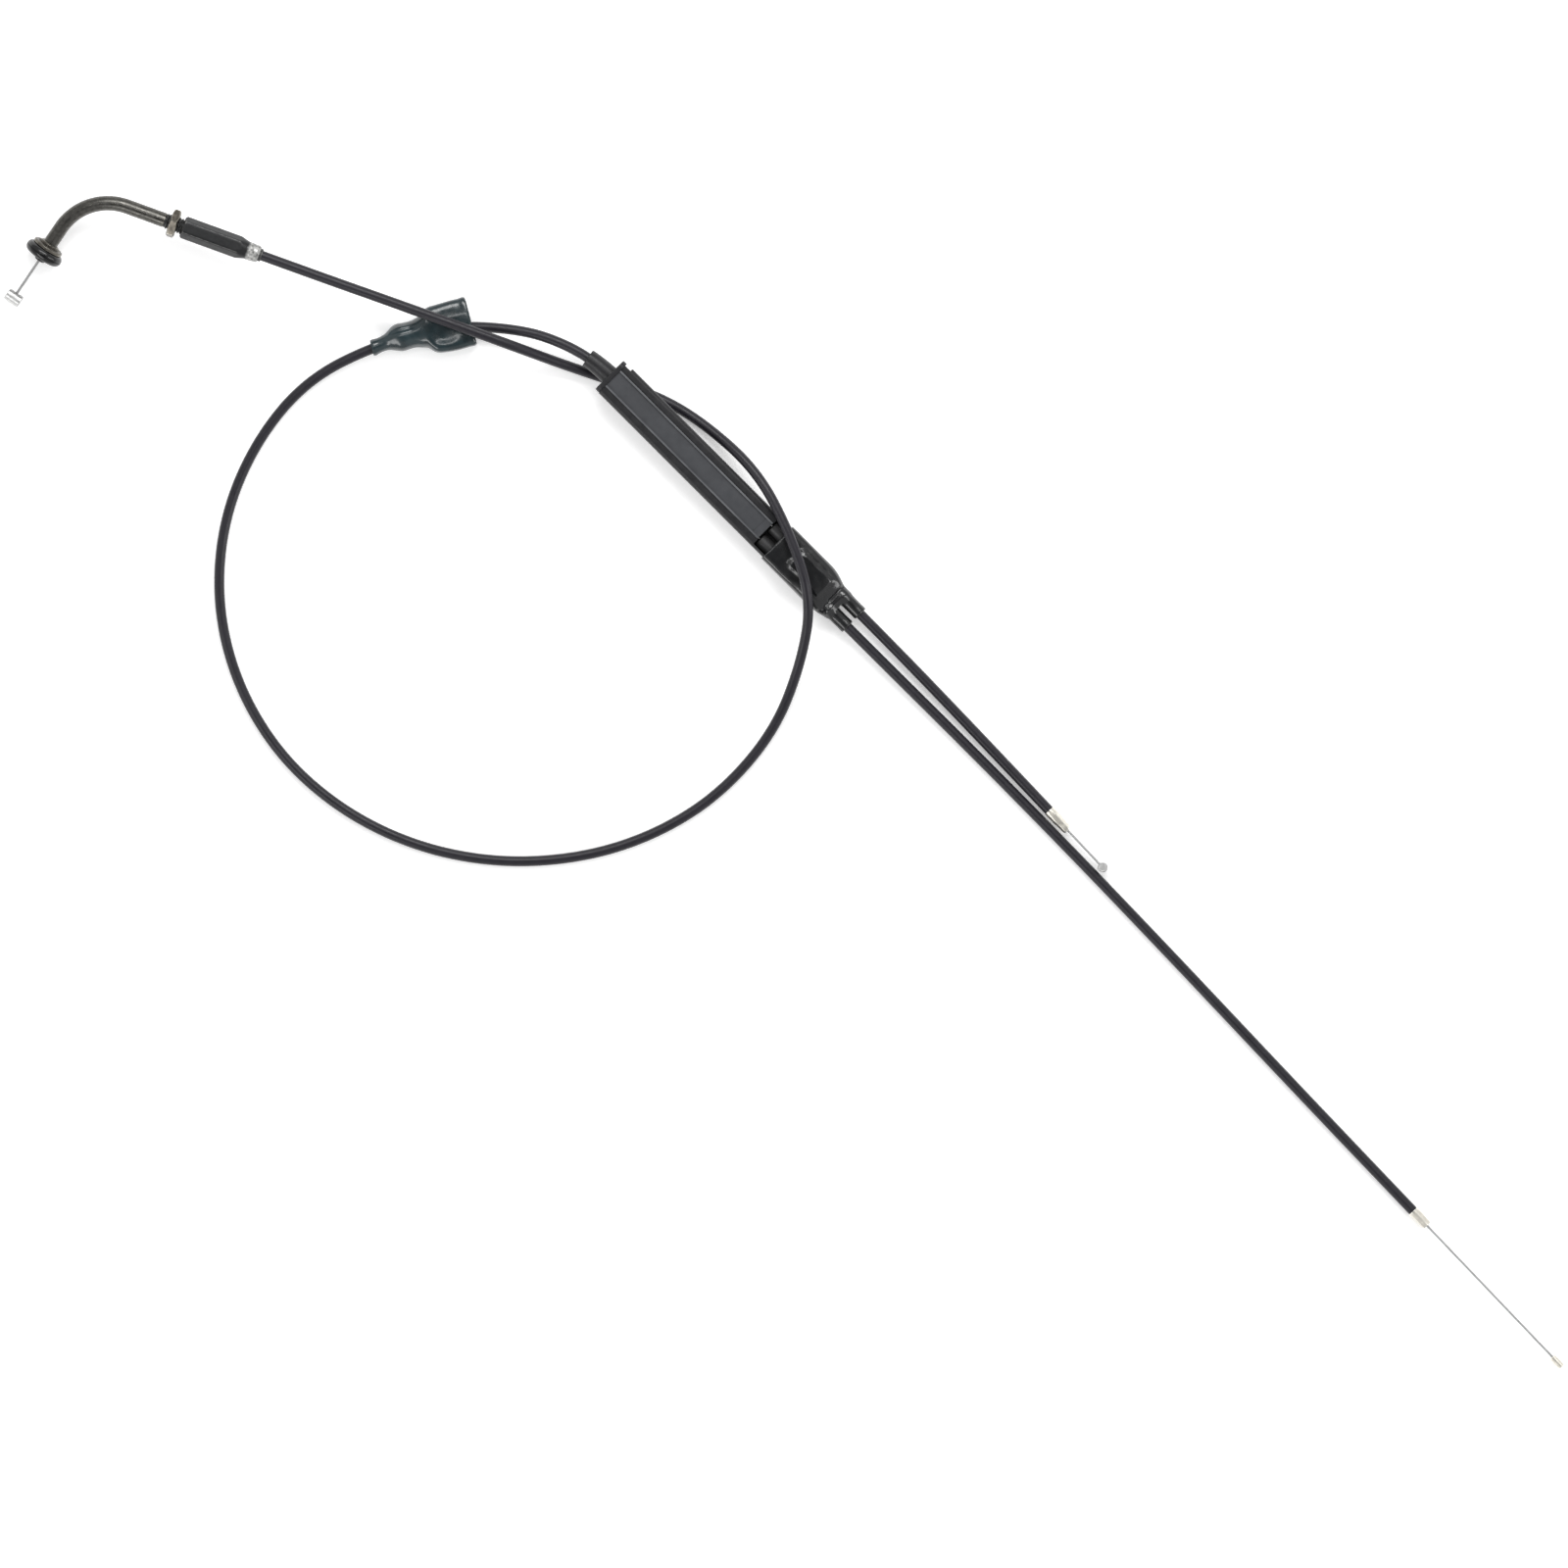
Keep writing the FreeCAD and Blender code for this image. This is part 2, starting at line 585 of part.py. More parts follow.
def elbow_tube():
    """Bent steel tube with a threaded end."""
    inside = size("elbow_inside")
    thread = thread_body()
    thread.Placement = frame(Vector(-inside, 0, 0), Vector(1, 0, 0))
    outside = fuse(
        "elbow_outside", thread,
        elbow_stretch("elbow_skin", "elbow_outer", inside - 0.6, size("leg_end")),
    )
    bore = elbow_stretch("elbow_bore", "elbow_inner", inside + 1, size("leg_end") + 1)
    node(cut("elbow_tube_cut", outside, bore), "elbow_tube", elbow_frame())


def elbow_flange():
    """Steel washer brazed round the tube, which stops the grommet."""
    corners = ring_corners(
        "elbow_outer + 0.1", "flange_outer", "flange_place", "flange_place + flange_thick", "0.4")
    node(turned("elbow_flange_body", corners), "elbow_flange", leg_frame())


def elbow_grommet():
    """Rubber ring with a groove for the edge of the throttle housing's hole."""
    start = "flange_place + flange_thick + fit_gap"
    middle, end = start + " + grommet_thick / 2", start + " + grommet_thick"
    rim, shy, bore = "grommet_outer / 2", "grommet_outer / 2 - 1.6", "elbow_outer / 2 + fit_gap"
    low, high = middle + " - groove_wide / 2", middle + " + groove_wide / 2"
    corners = [
        (bore, start), (shy, start), (rim, start + " + 1"), (rim, low + " - 0.3"),
        ("grommet_waist / 2", low), ("grommet_waist / 2", high),
        (rim, high + " + 0.3"), (rim, end + " - 1"), (shy, end), (bore, end),
    ]
    node(turned("elbow_grommet_body", corners), "elbow_grommet", leg_frame())


def elbow_end_bush():
    """Nylon bush in the end of the tube, which keeps the wire off the steel."""
    stem, bore = "bush_outer / 2", "bush_bore / 2"
    corners = [
        (bore, "leg_end - bush_stem"), (stem, "leg_end - bush_stem"), (stem, "leg_end + fit_gap"),
        ("bush_head / 2", "leg_end + fit_gap"), ("bush_head / 2", "leg_end + bush_nose - 0.5"),
        ("bush_head / 2 - 0.8", "leg_end + bush_nose"), (bore, "leg_end + bush_nose"),
    ]
    node(turned("elbow_end_bush_body", corners), "elbow_end_bush", leg_frame())


def elbow_wire_run():
    """The wire through the bend, up to where the sliding end may reach."""
    bend = DOC.addObject("Part::Torus", "elbow_wire_bend")
    bind(bend, Radius1="elbow_radius", Radius2="throttle_wire / 2", Angle3="elbow_turn - elbow_wire_gap")
    turn = FreeCAD.Rotation(UP, -90)
    centre = elbow_frame().multVec(Vector(bend_start(), size("elbow_radius"), 0))
    node(bend, "elbow_wire_run", FreeCAD.Placement(centre, elbow_frame().Rotation.multiply(turn)))


def throttle_wire_end():
    """Straight sliding end of the throttle wire, from inside the leg to the nipple."""
    wire = plain_bar("throttle_wire_bar", "throttle_wire", "throttle_tail_place",
                     "throttle_nipple_place - throttle_nipple_outer / 2 + throttle_wire_depth")
    node(wire, "throttle_wire_end", leg_frame())


def barrel_corners(outer, long, bevel):
    """Outline of a solid barrel with bevelled rims."""
    rim = outer + " / 2"
    return [
        ("0", "0"), (rim + " - " + bevel, "0"), (rim, bevel), (rim, long + " - " + bevel),
        (rim + " - " + bevel, long), ("0", long),
    ]


def throttle_nipple():
    """Barrel nipple across the wire, with a hole and a countersink where the wire enters."""
    barrel = turned("throttle_barrel", barrel_corners(
        "throttle_nipple_outer", "throttle_nipple_long", "throttle_nipple_bevel"))
    barrel.Placement = frame(
        Vector(-size("throttle_nipple_long") / 2, 0, size("throttle_nipple_place")), Vector(1, 0, 0))
    near = "throttle_nipple_place - throttle_nipple_outer / 2"
    hole = rod("throttle_nipple_hole", "throttle_wire + wire_play", near + " - 2",
               near + " + throttle_wire_depth + fit_gap")
    sink = primitive("Cone", "throttle_nipple_sink", Radius1="1.9", Radius2="throttle_wire / 2",
                     Height="1.2", along=near + " - fit_gap")
    node(cut("throttle_nipple_cut", barrel, hole, sink), "throttle_nipple", leg_frame())


def hexagon(name, flats, start, end):
    """Hexagonal bar along local Z, with a flat facing local Y."""
    return primitive("Prism", name, Circumradius="(%s) / root_three" % flats, along=start,
                     Height="%s - (%s)" % (end, start))


def lock_nut():
    """Thin hexagon nut with bevelled corners, one corner up."""
    blank = hexagon("nut_blank", "nut_flats", "0 - nut_thick / 2", "nut_thick / 2")
    envelope = turned("nut_envelope", ring_corners(
        "nut_bore", "nut_flats * 1.16", "0 - nut_thick / 2", "nut_thick / 2", "0.7"))
    place = arm_frame()
    place.Rotation = place.Rotation.multiply(FreeCAD.Rotation(UP, size("nut_turned")))
    node(common("lock_nut_common", blank, envelope), "lock_nut", place)


def adjuster_sleeve():
    """Long hexagon sleeve: threaded on the elbow, and turning on the cable's ferrule."""
    blank = hexagon("sleeve_blank", "sleeve_flats", "sleeve_start", "sleeve_end")
    envelope = turned("sleeve_envelope", [
        ("sleeve_bore / 2", "sleeve_start"), ("sleeve_flats / 2 - 0.2", "sleeve_start"),
        ("sleeve_corners / 2", "sleeve_start + 0.9"), ("sleeve_corners / 2", "sleeve_shoulder"),
        ("collar_outer / 2", "sleeve_collar"), ("collar_outer / 2 + 0.1", "sleeve_collar + 1.2"),
        ("collar_outer / 2 - 0.15", "sleeve_end - 1.2"), ("collar_outer / 2 - 0.7", "sleeve_end"),
        ("collar_bore / 2", "sleeve_end"), ("collar_bore / 2", "sleeve_bore_end"),
        ("sleeve_bore / 2", "sleeve_bore_end"),
    ])
    node(common("adjuster_sleeve_common", blank, envelope), "adjuster_sleeve", arm_frame())


def throttle_ferrule_upper():
    """Cap on the throttle jacket's upper end, which the adjuster turns on."""
    rim = "ferrule_outer / 2"
    corners = [
        ("throttle_wire / 2 + 0.4", "ferrule_start"), (rim + " - 0.3", "ferrule_start"),
        (rim, "ferrule_start + 0.3"), (rim, "ferrule_end - 0.4"), (rim + " - 0.4", "ferrule_end"),
        ("sheath_outer / 2 + fit_gap", "ferrule_end"), ("sheath_outer / 2 + fit_gap", "ferrule_seat"),
        ("throttle_wire / 2 + 0.4", "ferrule_seat"),
    ]
    node(turned("throttle_ferrule_upper_body", corners), "throttle_ferrule_upper", arm_frame())


# ---- splitter box ----------------------------------------------------------------------------------

def splitter_case():
    """Moulded trough with two shoulders over its cavity, and a window at its lower end."""
    half, high = "case_wide / 2", "case_high / 2"
    cave, slot = "cavity_wide / 2", "slot_wide / 2"
    right = [
        (half, "0 - " + high), (half, high), (slot, high), (slot, "cavity_roof"),
        (cave, "cavity_roof"), (cave, "cavity_floor"),
    ]
    left = [("0 - " + across, up) for across, up in reversed(right)]
    body, pad = extruded("splitter_case_body", right + left, "case_end - case_start")
    edge = size("case_wide") / 2
    side_roof = size("case_high") / 2

    def is_long_edge(first, second):
        outer = abs(abs(first.x) - edge) < 0.01 and abs(abs(second.x) - edge) < 0.01
        return outer and abs(first.z - second.z) > 50 and abs(abs(first.y) - side_roof) < 0.01

    round_edges(body, pad, "case_fillet", "case_round", is_long_edge)
    bind_place(body, along="case_start")
    window = box("case_window", "cavity_wide", "cavity_floor", "case_high", "window_start",
                 "plug_start + 0.2")
    notch = box("case_notch", "case_wide", "0 - case_high", "case_high", "case_start - 1",
                "case_start + notch_long", across="cavity_wide / 2 + case_wide / 2")
    node(cut("splitter_case_cut", body, window, notch), "splitter_case", splitter_frame())


def splitter_lid():
    """Slide-in lid: a foot under the shoulders, a panel between them, two ribs, and a hollow
    under its end for the throttle cable's ferrule."""
    foot, panel = "lid_foot_wide / 2", "lid_wide / 2"
    right = [
        (foot, "lid_foot_low"), (foot, "lid_foot_top"), (panel, "lid_foot_top"),
        (panel, "lid_rib_top"), (panel + " - lid_rib_wide", "lid_rib_top"),
        (panel + " - lid_rib_wide", "lid_top"),
    ]
    left = [("0 - (" + across + ")", up) for across, up in reversed(right)]
    body = extruded("splitter_lid_body", right + left, "lid_end - case_start")[0]
    bind_place(body, along="case_start")
    hollow = rod("lid_hollow", "cap_ferrule_outer + 0.4", "case_start - 1", "cap_ferrule_end + 0.3")
    node(cut("splitter_lid_cut", body, hollow), "splitter_lid", splitter_frame())


def neck_bar(name, diameter, extra):
    """Bar from inside the flange round the last arc of the throttle route, and on by extra."""
    enter, middle, leave = arc_ends(THROTTLE_ROUTE, -2, *arc_rows(THROTTLE_ROUTE)[-1])
    inside = (Vector(*THROTTLE_ROUTE[-1]) - leave).normalize()
    outward = (Vector(*THROTTLE_ROUTE[-3]) - enter).normalize()
    edges = [
        Part.LineSegment(leave + inside * 2, leave).toShape(),
        Part.Arc(leave, middle, enter).toShape(),
        Part.LineSegment(enter, enter + outward * extra).toShape(),
    ]
    bar = DOC.addObject("Part::Feature", name)
    bar.Shape = sweep(Part.Wire(edges), size(diameter))
    bar.Placement = splitter_frame().inverse()
    return bar


def splitter_top_cap():
    """Cap with a plug, a flange and a bent neck, where the throttle cable enters the box."""
    flange = box("cap_flange_box", "cap_flange_wide", "0 - cap_flange_high / 2",
                 "cap_flange_high / 2", "case_start - cap_flange - fit_gap", "case_start - fit_gap")
    plug = box("cap_plug_box", "cap_plug_wide", "cap_plug_low", "cap_plug_top",
               "case_start - 0.5", "cap_plug_end")
    outside = fuse("cap_outside", flange, plug, neck_bar("cap_neck", "neck_outer", 0.3))
    bore = rod("cap_wire_hole", "throttle_wire + 0.9", "cap_ferrule_end - 0.5", "cap_plug_end + 1")
    seat = rod("cap_seat", "cap_bore", "cap_ferrule_start - 0.1", "cap_ferrule_end + 0.1")
    hollow = neck_bar("cap_neck_bore", "neck_bore", 2.0)
    cap = cut("splitter_top_cap_cut", outside, bore, seat, hollow)
    node(cap, "splitter_top_cap", splitter_frame())


def throttle_ferrule_lower():
    """Cap on the throttle jacket's lower end, inside the top cap."""
    rim = "cap_ferrule_outer / 2"
    corners = [
        ("sheath_outer / 2 + fit_gap", "cap_ferrule_start"), (rim, "cap_ferrule_start"),
        (rim, "cap_ferrule_end - 0.3"), (rim + " - 0.3", "cap_ferrule_end"),
        ("throttle_wire / 2 + 0.3", "cap_ferrule_end"), ("throttle_wire / 2 + 0.3", "throttle_end + 0.1"),
        ("sheath_outer / 2 + fit_gap", "throttle_end + 0.1"),
    ]
    node(turned("throttle_ferrule_lower_body", corners), "throttle_ferrule_lower", splitter_frame())


def slider_side(name, across, sign):
    """Pocket for a nipple and notch for its wire; sign is the end that the wire leaves by."""
    face = "slider_place %s slider_long / 2" % sign
    back = "-" if sign == "+" else "+"
    wall = "%s %s pocket_wall" % (face, back)
    far = "%s %s pocket_long" % (wall, back)
    start, end = (far, wall) if sign == "+" else (wall, far)
    pocket = box(name + "_pocket", "pocket_wide", "pocket_floor", "slider_top + 1", start, end, across)
    start, end = (wall + " - 1", face + " + 1") if sign == "+" else (face + " - 1", wall + " + 1")
    notch = box(name + "_notch", "notch_wide", "notch_floor", "slider_top + 1", start, end, across)
    return pocket, notch


def slider_block():
    """Sliding block that one wire pulls and that pulls two, with open pockets for the nipples."""
    block = box("slider_blank", "slider_wide", "slider_low", "slider_top",
                "slider_place - slider_long / 2", "slider_place + slider_long / 2")
    tools = (slider_side("slider_throttle", "0", "-") + slider_side("slider_carb", "carb_across", "+")
             + slider_side("slider_pump", "pump_across", "+"))
    node(cut("slider_block_cut", block, *tools), "slider_block", splitter_frame())


def inner_nipple(name, wire, across, sign):
    """Barrel nipple on a wire's end, resting against the wall of its pocket."""
    wall = "slider_place %s (slider_long / 2 - pocket_wall - 0.1)" % sign
    start, end = (wall + " - inner_nipple_long", wall) if sign == "+" else (
        wall, wall + " + inner_nipple_long")
    body = turned(name + "_body", ring_corners(
        wire + " + wire_play", "inner_nipple_outer", start, end, "0.3"))
    node(body, name, beside(across))
    return start, end


def slider_wires():
    """The three wires that leave the slider, each from the far side of its nipple."""
    start, end = inner_nipple("throttle_tail_nipple", "throttle_wire", "0", "-")
    tail = plain_bar("throttle_tail_bar", "throttle_wire", "tail_end", end)
    node(tail, "throttle_wire_tail", splitter_frame())
    for side in ("carb", "pump"):
        start, end = inner_nipple(side + "_head_nipple", "lower_wire", side + "_across", "+")
        wire = plain_bar(side + "_head_bar", "lower_wire", start, "head_end")
        node(wire, side + "_wire_head", beside(side + "_across"))


def lower_end_plug():
    """Block that closes the trough's lower end and holds both lower ferrules."""
    block = box("plug_blank", "cavity_wide - 0.3", "cavity_floor + 0.1", "cavity_roof - 0.1",
                "plug_start", "case_end")
    bores = [
        rod("plug_%s_bore" % side, "lower_ferrule_outer + 0.1", "plug_start - 1", "case_end + 1",
            across=side + "_across")
        for side in ("carb", "pump")
    ]
    node(cut("lower_end_plug_cut", block, *bores), "lower_end_plug", splitter_frame())


def lower_ferrule(side):
    """Stepped ferrule: its head shows in the window, and its body sits in the end plug."""
    head, rim = "lower_head_outer / 2", "lower_ferrule_outer / 2"
    bore, hole = "sheath_outer / 2 + fit_gap", "lower_wire / 2 + 0.3"
    corners = [
        (hole, "lower_ferrule_start"), (head + " - 0.5", "lower_ferrule_start"),
        (head, "lower_ferrule_start + 0.5"), (head, "lower_ferrule_head"),
        (rim, "lower_ferrule_head"), (rim, "lower_ferrule_end"), (bore, "lower_ferrule_end"),
        (bore, "lower_jacket_start - 0.1"), (hole, "lower_jacket_start - 0.1"),
    ]
    body = turned(side + "_ferrule_upper_body", corners)
    node(body, side + "_ferrule_upper", beside(side + "_across"))


def lower_boot():
    """Rubber boot over the lower end of the case, with a spout round each cable."""
    block = box("boot_block", "boot_wide", "0 - boot_high / 2", "boot_high / 2", "boot_start",
                "boot_shoulder")
    spouts = [
        rod("boot_%s_spout" % side, "spout_outer", "boot_shoulder - 2", "spout_end",
            across=side + "_across")
        for side in ("carb", "pump")
    ]
    hollow = box("boot_pocket", "case_wide + 0.2", "0 - case_high / 2 - 0.1", "case_high / 2 + 0.1",
                 "boot_start - 1", "boot_case_end")
    bores = []
    for side in ("carb", "pump"):
        bores.append(rod("boot_%s_bore" % side, "sheath_outer + 0.5", "boot_start", "spout_end + 1",
                         across=side + "_across"))
        bores.append(rod("boot_%s_seat" % side, "lower_ferrule_outer + 0.2", "boot_start",
                         "lower_ferrule_end + 0.5", across=side + "_across"))
    boot = cut("lower_boot_cut", fuse("boot_outside", block, *spouts), hollow, *bores)
    node(boot, "lower_boot", splitter_frame())


def upper_boot():
    """Loose rubber boot on the throttle cable: a neck, a barrel and a box-shaped mouth."""
    outside = fuse(
        "loose_outside",
        rod("loose_neck", "loose_neck_outer", "0", "loose_neck_long + 1"),
        rod("loose_barrel", "loose_barrel_outer", "loose_neck_long", "loose_barrel_end + 1"),
        box("loose_mouth", "loose_mouth_wide", "0 - loose_mouth_high / 2", "loose_mouth_high / 2",
            "loose_barrel_end", "loose_mouth_end"),
    )
    bore = rod("loose_neck_hole", "loose_neck_bore", "0 - 1", "loose_neck_long + 2")
    barrel = rod("loose_barrel_hole", "loose_barrel_bore", "loose_neck_long + 1.5",
                 "loose_barrel_end + 3")
    mouth = box("loose_cavity", "loose_cavity_wide", "0 - loose_cavity_high / 2",
                "loose_cavity_high / 2", "loose_mouth_end - loose_cavity_deep",
                "loose_mouth_end + 1")
    node(cut("upper_boot_cut", outside, bore, barrel, mouth), "upper_boot", loose_frame())


# ---- lower ends ------------------------------------------------------------------------------------

def carb_ferrule_lower():
    """Crimped ferrule with a six-sided tip."""
    lap = turned("carb_ferrule_lap", [
        ("sheath_outer / 2 + 0.04", "0 - end_ferrule_lap"),
        ("end_ferrule_outer / 2", "0 - end_ferrule_lap"), ("end_ferrule_outer / 2", "carb_crimp_start"),
        ("end_crimp_outer / 2 - 0.4", "carb_crimp_start + 0.8"),
        ("conduit_outer / 2 + fit_gap", "carb_crimp_start + 0.8"),
        ("conduit_outer / 2 + fit_gap", "fit_gap"),
        ("sheath_outer / 2 + 0.04", "fit_gap"),
    ])
    tip = hexagon("carb_ferrule_tip", "end_crimp_outer", "carb_crimp_start - 0.2", "carb_ferrule_long")
    hole = rod("carb_ferrule_hole", "conduit_outer + 0.1", "0 - 1", "carb_ferrule_long - 1.6")
    exit_hole = rod("carb_ferrule_exit", "lower_wire + 0.9", "0", "carb_ferrule_long + 1")
    ferrule = cut("carb_ferrule_cut", fuse("carb_ferrule_outside", lap, tip), hole, exit_hole)
    node(ferrule, "carb_ferrule_lower", end_frame(CARB_ROUTE))


def pump_ferrule_lower():
    """Stepped ferrule with a narrow nose."""
    crimp, hole = "end_crimp_outer / 2", "lower_wire / 2 + 0.45"
    corners = [
        ("sheath_outer / 2 + 0.04", "0 - end_ferrule_lap"),
        ("end_ferrule_outer / 2", "0 - end_ferrule_lap"), ("end_ferrule_outer / 2", "pump_crimp_start"),
        (crimp, "pump_crimp_start + 0.7"), (crimp, "pump_ferrule_long - 0.6"),
        (crimp + " - 0.6", "pump_ferrule_long"), (hole, "pump_ferrule_long"),
        (hole, "pump_ferrule_long - 2"), ("conduit_outer / 2 + fit_gap", "pump_ferrule_long - 2"),
        ("conduit_outer / 2 + fit_gap", "fit_gap"), ("sheath_outer / 2 + 0.04", "fit_gap"),
    ]
    node(turned("pump_ferrule_lower_body", corners), "pump_ferrule_lower", end_frame(PUMP_ROUTE))


def carb_end():
    """Sliding wire of the carburettor cable, with a nipple in line with it."""
    place = end_frame(CARB_ROUTE)
    end = "carb_nipple_place + carb_nipple_long / 2"
    wire = plain_bar("carb_wire_bar", "lower_wire", "0 - wire_tail", end + " - 0.3")
    node(wire, "carb_wire_end", place)
    nipple = turned("carb_nipple_body", ring_corners(
        "lower_wire + wire_play", "carb_nipple_outer", "carb_nipple_place - carb_nipple_long / 2", end,
        "0.35"))
    node(nipple, "carb_nipple", place)


def pump_end():
    """Sliding wire of the oil pump cable, with a barrel nipple that stands across it."""
    place = end_frame(PUMP_ROUTE)
    near = "pump_nipple_place - pump_nipple_outer / 2"
    wire = plain_bar("pump_wire_bar", "lower_wire", "0 - wire_tail", near + " + pump_wire_depth")
    node(wire, "pump_wire_end", place)
    barrel = turned("pump_barrel", barrel_corners(
        "pump_nipple_outer", "pump_nipple_long", "pump_nipple_bevel"))
    base = Vector(0, -size("pump_nipple_long") / 2, size("pump_nipple_place"))
    barrel.Placement = frame(base, Vector(0, 1, 0), Vector(1, 0, 0))
    hole = rod("pump_nipple_hole", "lower_wire + wire_play", near + " - 2",
               near + " + pump_wire_depth + fit_gap")
    node(cut("pump_nipple_cut", barrel, hole), "pump_nipple", place)


def cables():
    """Jacket, conduit and fixed inner wire of each of the three cables."""
    into_arm = size("ferrule_seat") + bend_start() - size("arm_wire_gap")
    cord("throttle_sheath", THROTTLE_ROUTE, "sheath_outer", "sheath_inner")
    cord("throttle_conduit", THROTTLE_ROUTE, "conduit_outer", "conduit_inner")
    cord("throttle_wire_run", THROTTLE_ROUTE[:-1], "throttle_wire", None, -into_arm,
         size("neck_wire_gap"))
    reach, gap = size("lower_conduit_reach"), size("run_gap")
    for side, route in (("carb", CARB_ROUTE), ("pump", PUMP_ROUTE)):
        cord(side + "_sheath", route, "sheath_outer", "sheath_inner")
        cord(side + "_conduit", route, "conduit_outer", "conduit_inner", 0.0, -reach)
        cord(side + "_wire_run", route, "lower_wire", None, gap, gap)


# ---- build, check and write ------------------------------------------------------------------------

def check_document():
    """Stop if any object failed, or any sub-part's shape is missing or broken."""
    for item in DOC.Objects:
        if "Invalid" in item.State or "Error" in item.State:
            raise RuntimeError("%s (%s) failed: %s" % (item.Name, item.Label, item.State))
    for piece in NODES:
        if piece.Shape.isNull() or not piece.Shape.isValid() or not piece.Shape.Solids:
            raise RuntimeError(piece.Label + " has no valid solid")


def write_parts():
    """One STEP file for each sub-part."""
    os.makedirs("parts", exist_ok=True)
    for piece in NODES:
        piece.Shape.exportStep(os.path.join("parts", piece.Label + ".step"))
        bounds = piece.Shape.BoundBox
        print("%-24s solids %d volume %9.1f  x %.1f %.1f  y %.1f %.1f  z %.1f %.1f" % (
            piece.Label, len(piece.Shape.Solids), piece.Shape.Volume, bounds.XMin, bounds.XMax,
            bounds.YMin, bounds.YMax, bounds.ZMin, bounds.ZMax))


def main():
    """Build every sub-part, check the document, and write the files."""
    for name, route in (("throttle", THROTTLE_ROUTE), ("carb", CARB_ROUTE), ("pump", PUMP_ROUTE)):
        print_radii(name, route)
    elbow_tube()
    elbow_flange()
    elbow_grommet()
    elbow_end_bush()
    elbow_wire_run()
    throttle_wire_end()
    throttle_nipple()
    lock_nut()
    adjuster_sleeve()
    throttle_ferrule_upper()
    splitter_case()
    splitter_lid()
    splitter_top_cap()
    throttle_ferrule_lower()
    slider_block()
    slider_wires()
    lower_end_plug()
    lower_ferrule("carb")
    lower_ferrule("pump")
    lower_boot()
    upper_boot()
    carb_ferrule_lower()
    pump_ferrule_lower()
    carb_end()
    pump_end()
    cables()
    DOC.recompute()
    check_document()
    write_parts()


main()
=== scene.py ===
import math

import bmesh
import bpy
import numpy as np
from mathutils import Matrix, Vector, noise


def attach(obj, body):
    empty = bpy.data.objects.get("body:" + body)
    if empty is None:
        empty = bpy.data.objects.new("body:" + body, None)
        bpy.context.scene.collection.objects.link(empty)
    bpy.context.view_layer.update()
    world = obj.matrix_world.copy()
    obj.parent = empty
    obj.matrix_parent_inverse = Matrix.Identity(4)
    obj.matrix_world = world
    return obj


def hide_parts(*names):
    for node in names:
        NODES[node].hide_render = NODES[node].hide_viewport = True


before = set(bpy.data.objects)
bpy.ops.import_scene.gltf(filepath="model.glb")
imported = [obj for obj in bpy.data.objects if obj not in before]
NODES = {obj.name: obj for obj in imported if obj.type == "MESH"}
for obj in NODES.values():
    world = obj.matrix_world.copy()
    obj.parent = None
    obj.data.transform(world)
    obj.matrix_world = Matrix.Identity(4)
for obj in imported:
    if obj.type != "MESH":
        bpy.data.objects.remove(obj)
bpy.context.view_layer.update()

SCENE = bpy.context.scene
MM = 0.001
UP = Vector((0.0, 0.0, 1.0))


# ---- camera, in metres --------------------------------------------------------------------------

VIEW_CENTRE = (0.2410, 0.0050)
VIEW_WIDTH = 0.768
CAMERA_HEIGHT = 9.0
SENSOR = 36.0
VIEW_TURN = 45.0


def make_camera():
    """Long lens, looking straight down, turned so that the box runs down to the right."""
    data = bpy.data.cameras.new("camera")
    data.sensor_width = SENSOR
    data.lens = SENSOR * CAMERA_HEIGHT / VIEW_WIDTH
    data.clip_start, data.clip_end = 0.02, 30.0
    camera = bpy.data.objects.new("camera", data)
    camera.location = (*VIEW_CENTRE, CAMERA_HEIGHT)
    camera.rotation_euler = (0.0, 0.0, math.radians(VIEW_TURN))
    SCENE.collection.objects.link(camera)
    SCENE.camera = camera


make_camera()


# ---- cords, in metres: the routes are the control points of smooth splines ----------------------

JACKET = 0.005
THROTTLE_ROUTE = (
    (-0.1306, 0.0032, 0.01645), (-0.0948, 0.0199, 0.01645), (-0.0570, 0.0380, 0.0184),
    (-0.0090, 0.0604, 0.0184), (0.0270, 0.0774, 0.0027), (0.0610, 0.0950, 0.0026),
    (0.0880, 0.1022, 0.0026), (0.1240, 0.1040, 0.0170), (0.1580, 0.0930, 0.0206),
    (0.1870, 0.0780, 0.0206), (0.2050, 0.0530, 0.0080), (0.2195, 0.0200, 0.0026),
    (0.2225, -0.0200, 0.0026), (0.2145, -0.0560, 0.0026), (0.1975, -0.0895, 0.0026),
    (0.1705, -0.1205, 0.0026), (0.1360, -0.1440, 0.0026), (0.0970, -0.1575, 0.0026),
    (0.0560, -0.1600, 0.0026), (0.0155, -0.1495, 0.0026), (-0.0195, -0.1275, 0.0026),
    (-0.0460, -0.0955, 0.0026), (-0.0608, -0.0580, 0.0026), (-0.0640, -0.0200, 0.0036),
    (-0.0520, 0.0160, 0.0070), (-0.0330, 0.0485, 0.0080), (-0.0070, 0.0715, 0.0108),
    (0.0130, 0.0815, 0.0127), (0.0318, 0.0861, 0.01338), (0.0468, 0.0861, 0.01283),
)
CARB_ROUTE = (
    (0.1573, 0.0813, 0.00878), (0.2267, 0.0813, 0.00624), (0.2970, 0.0817, 0.0029),
    (0.3660, 0.0811, 0.0028), (0.4340, 0.0796, 0.0028), (0.5010, 0.0776, 0.0028),
    (0.5570, 0.0761, 0.0028), (0.6096, 0.0749, 0.0028),
)
PUMP_ROUTE = (
    (0.1573, 0.0903, 0.00878), (0.2220, 0.0903, 0.00641), (0.2860, 0.0892, 0.0027),
    (0.3450, 0.0875, 0.0037),
)


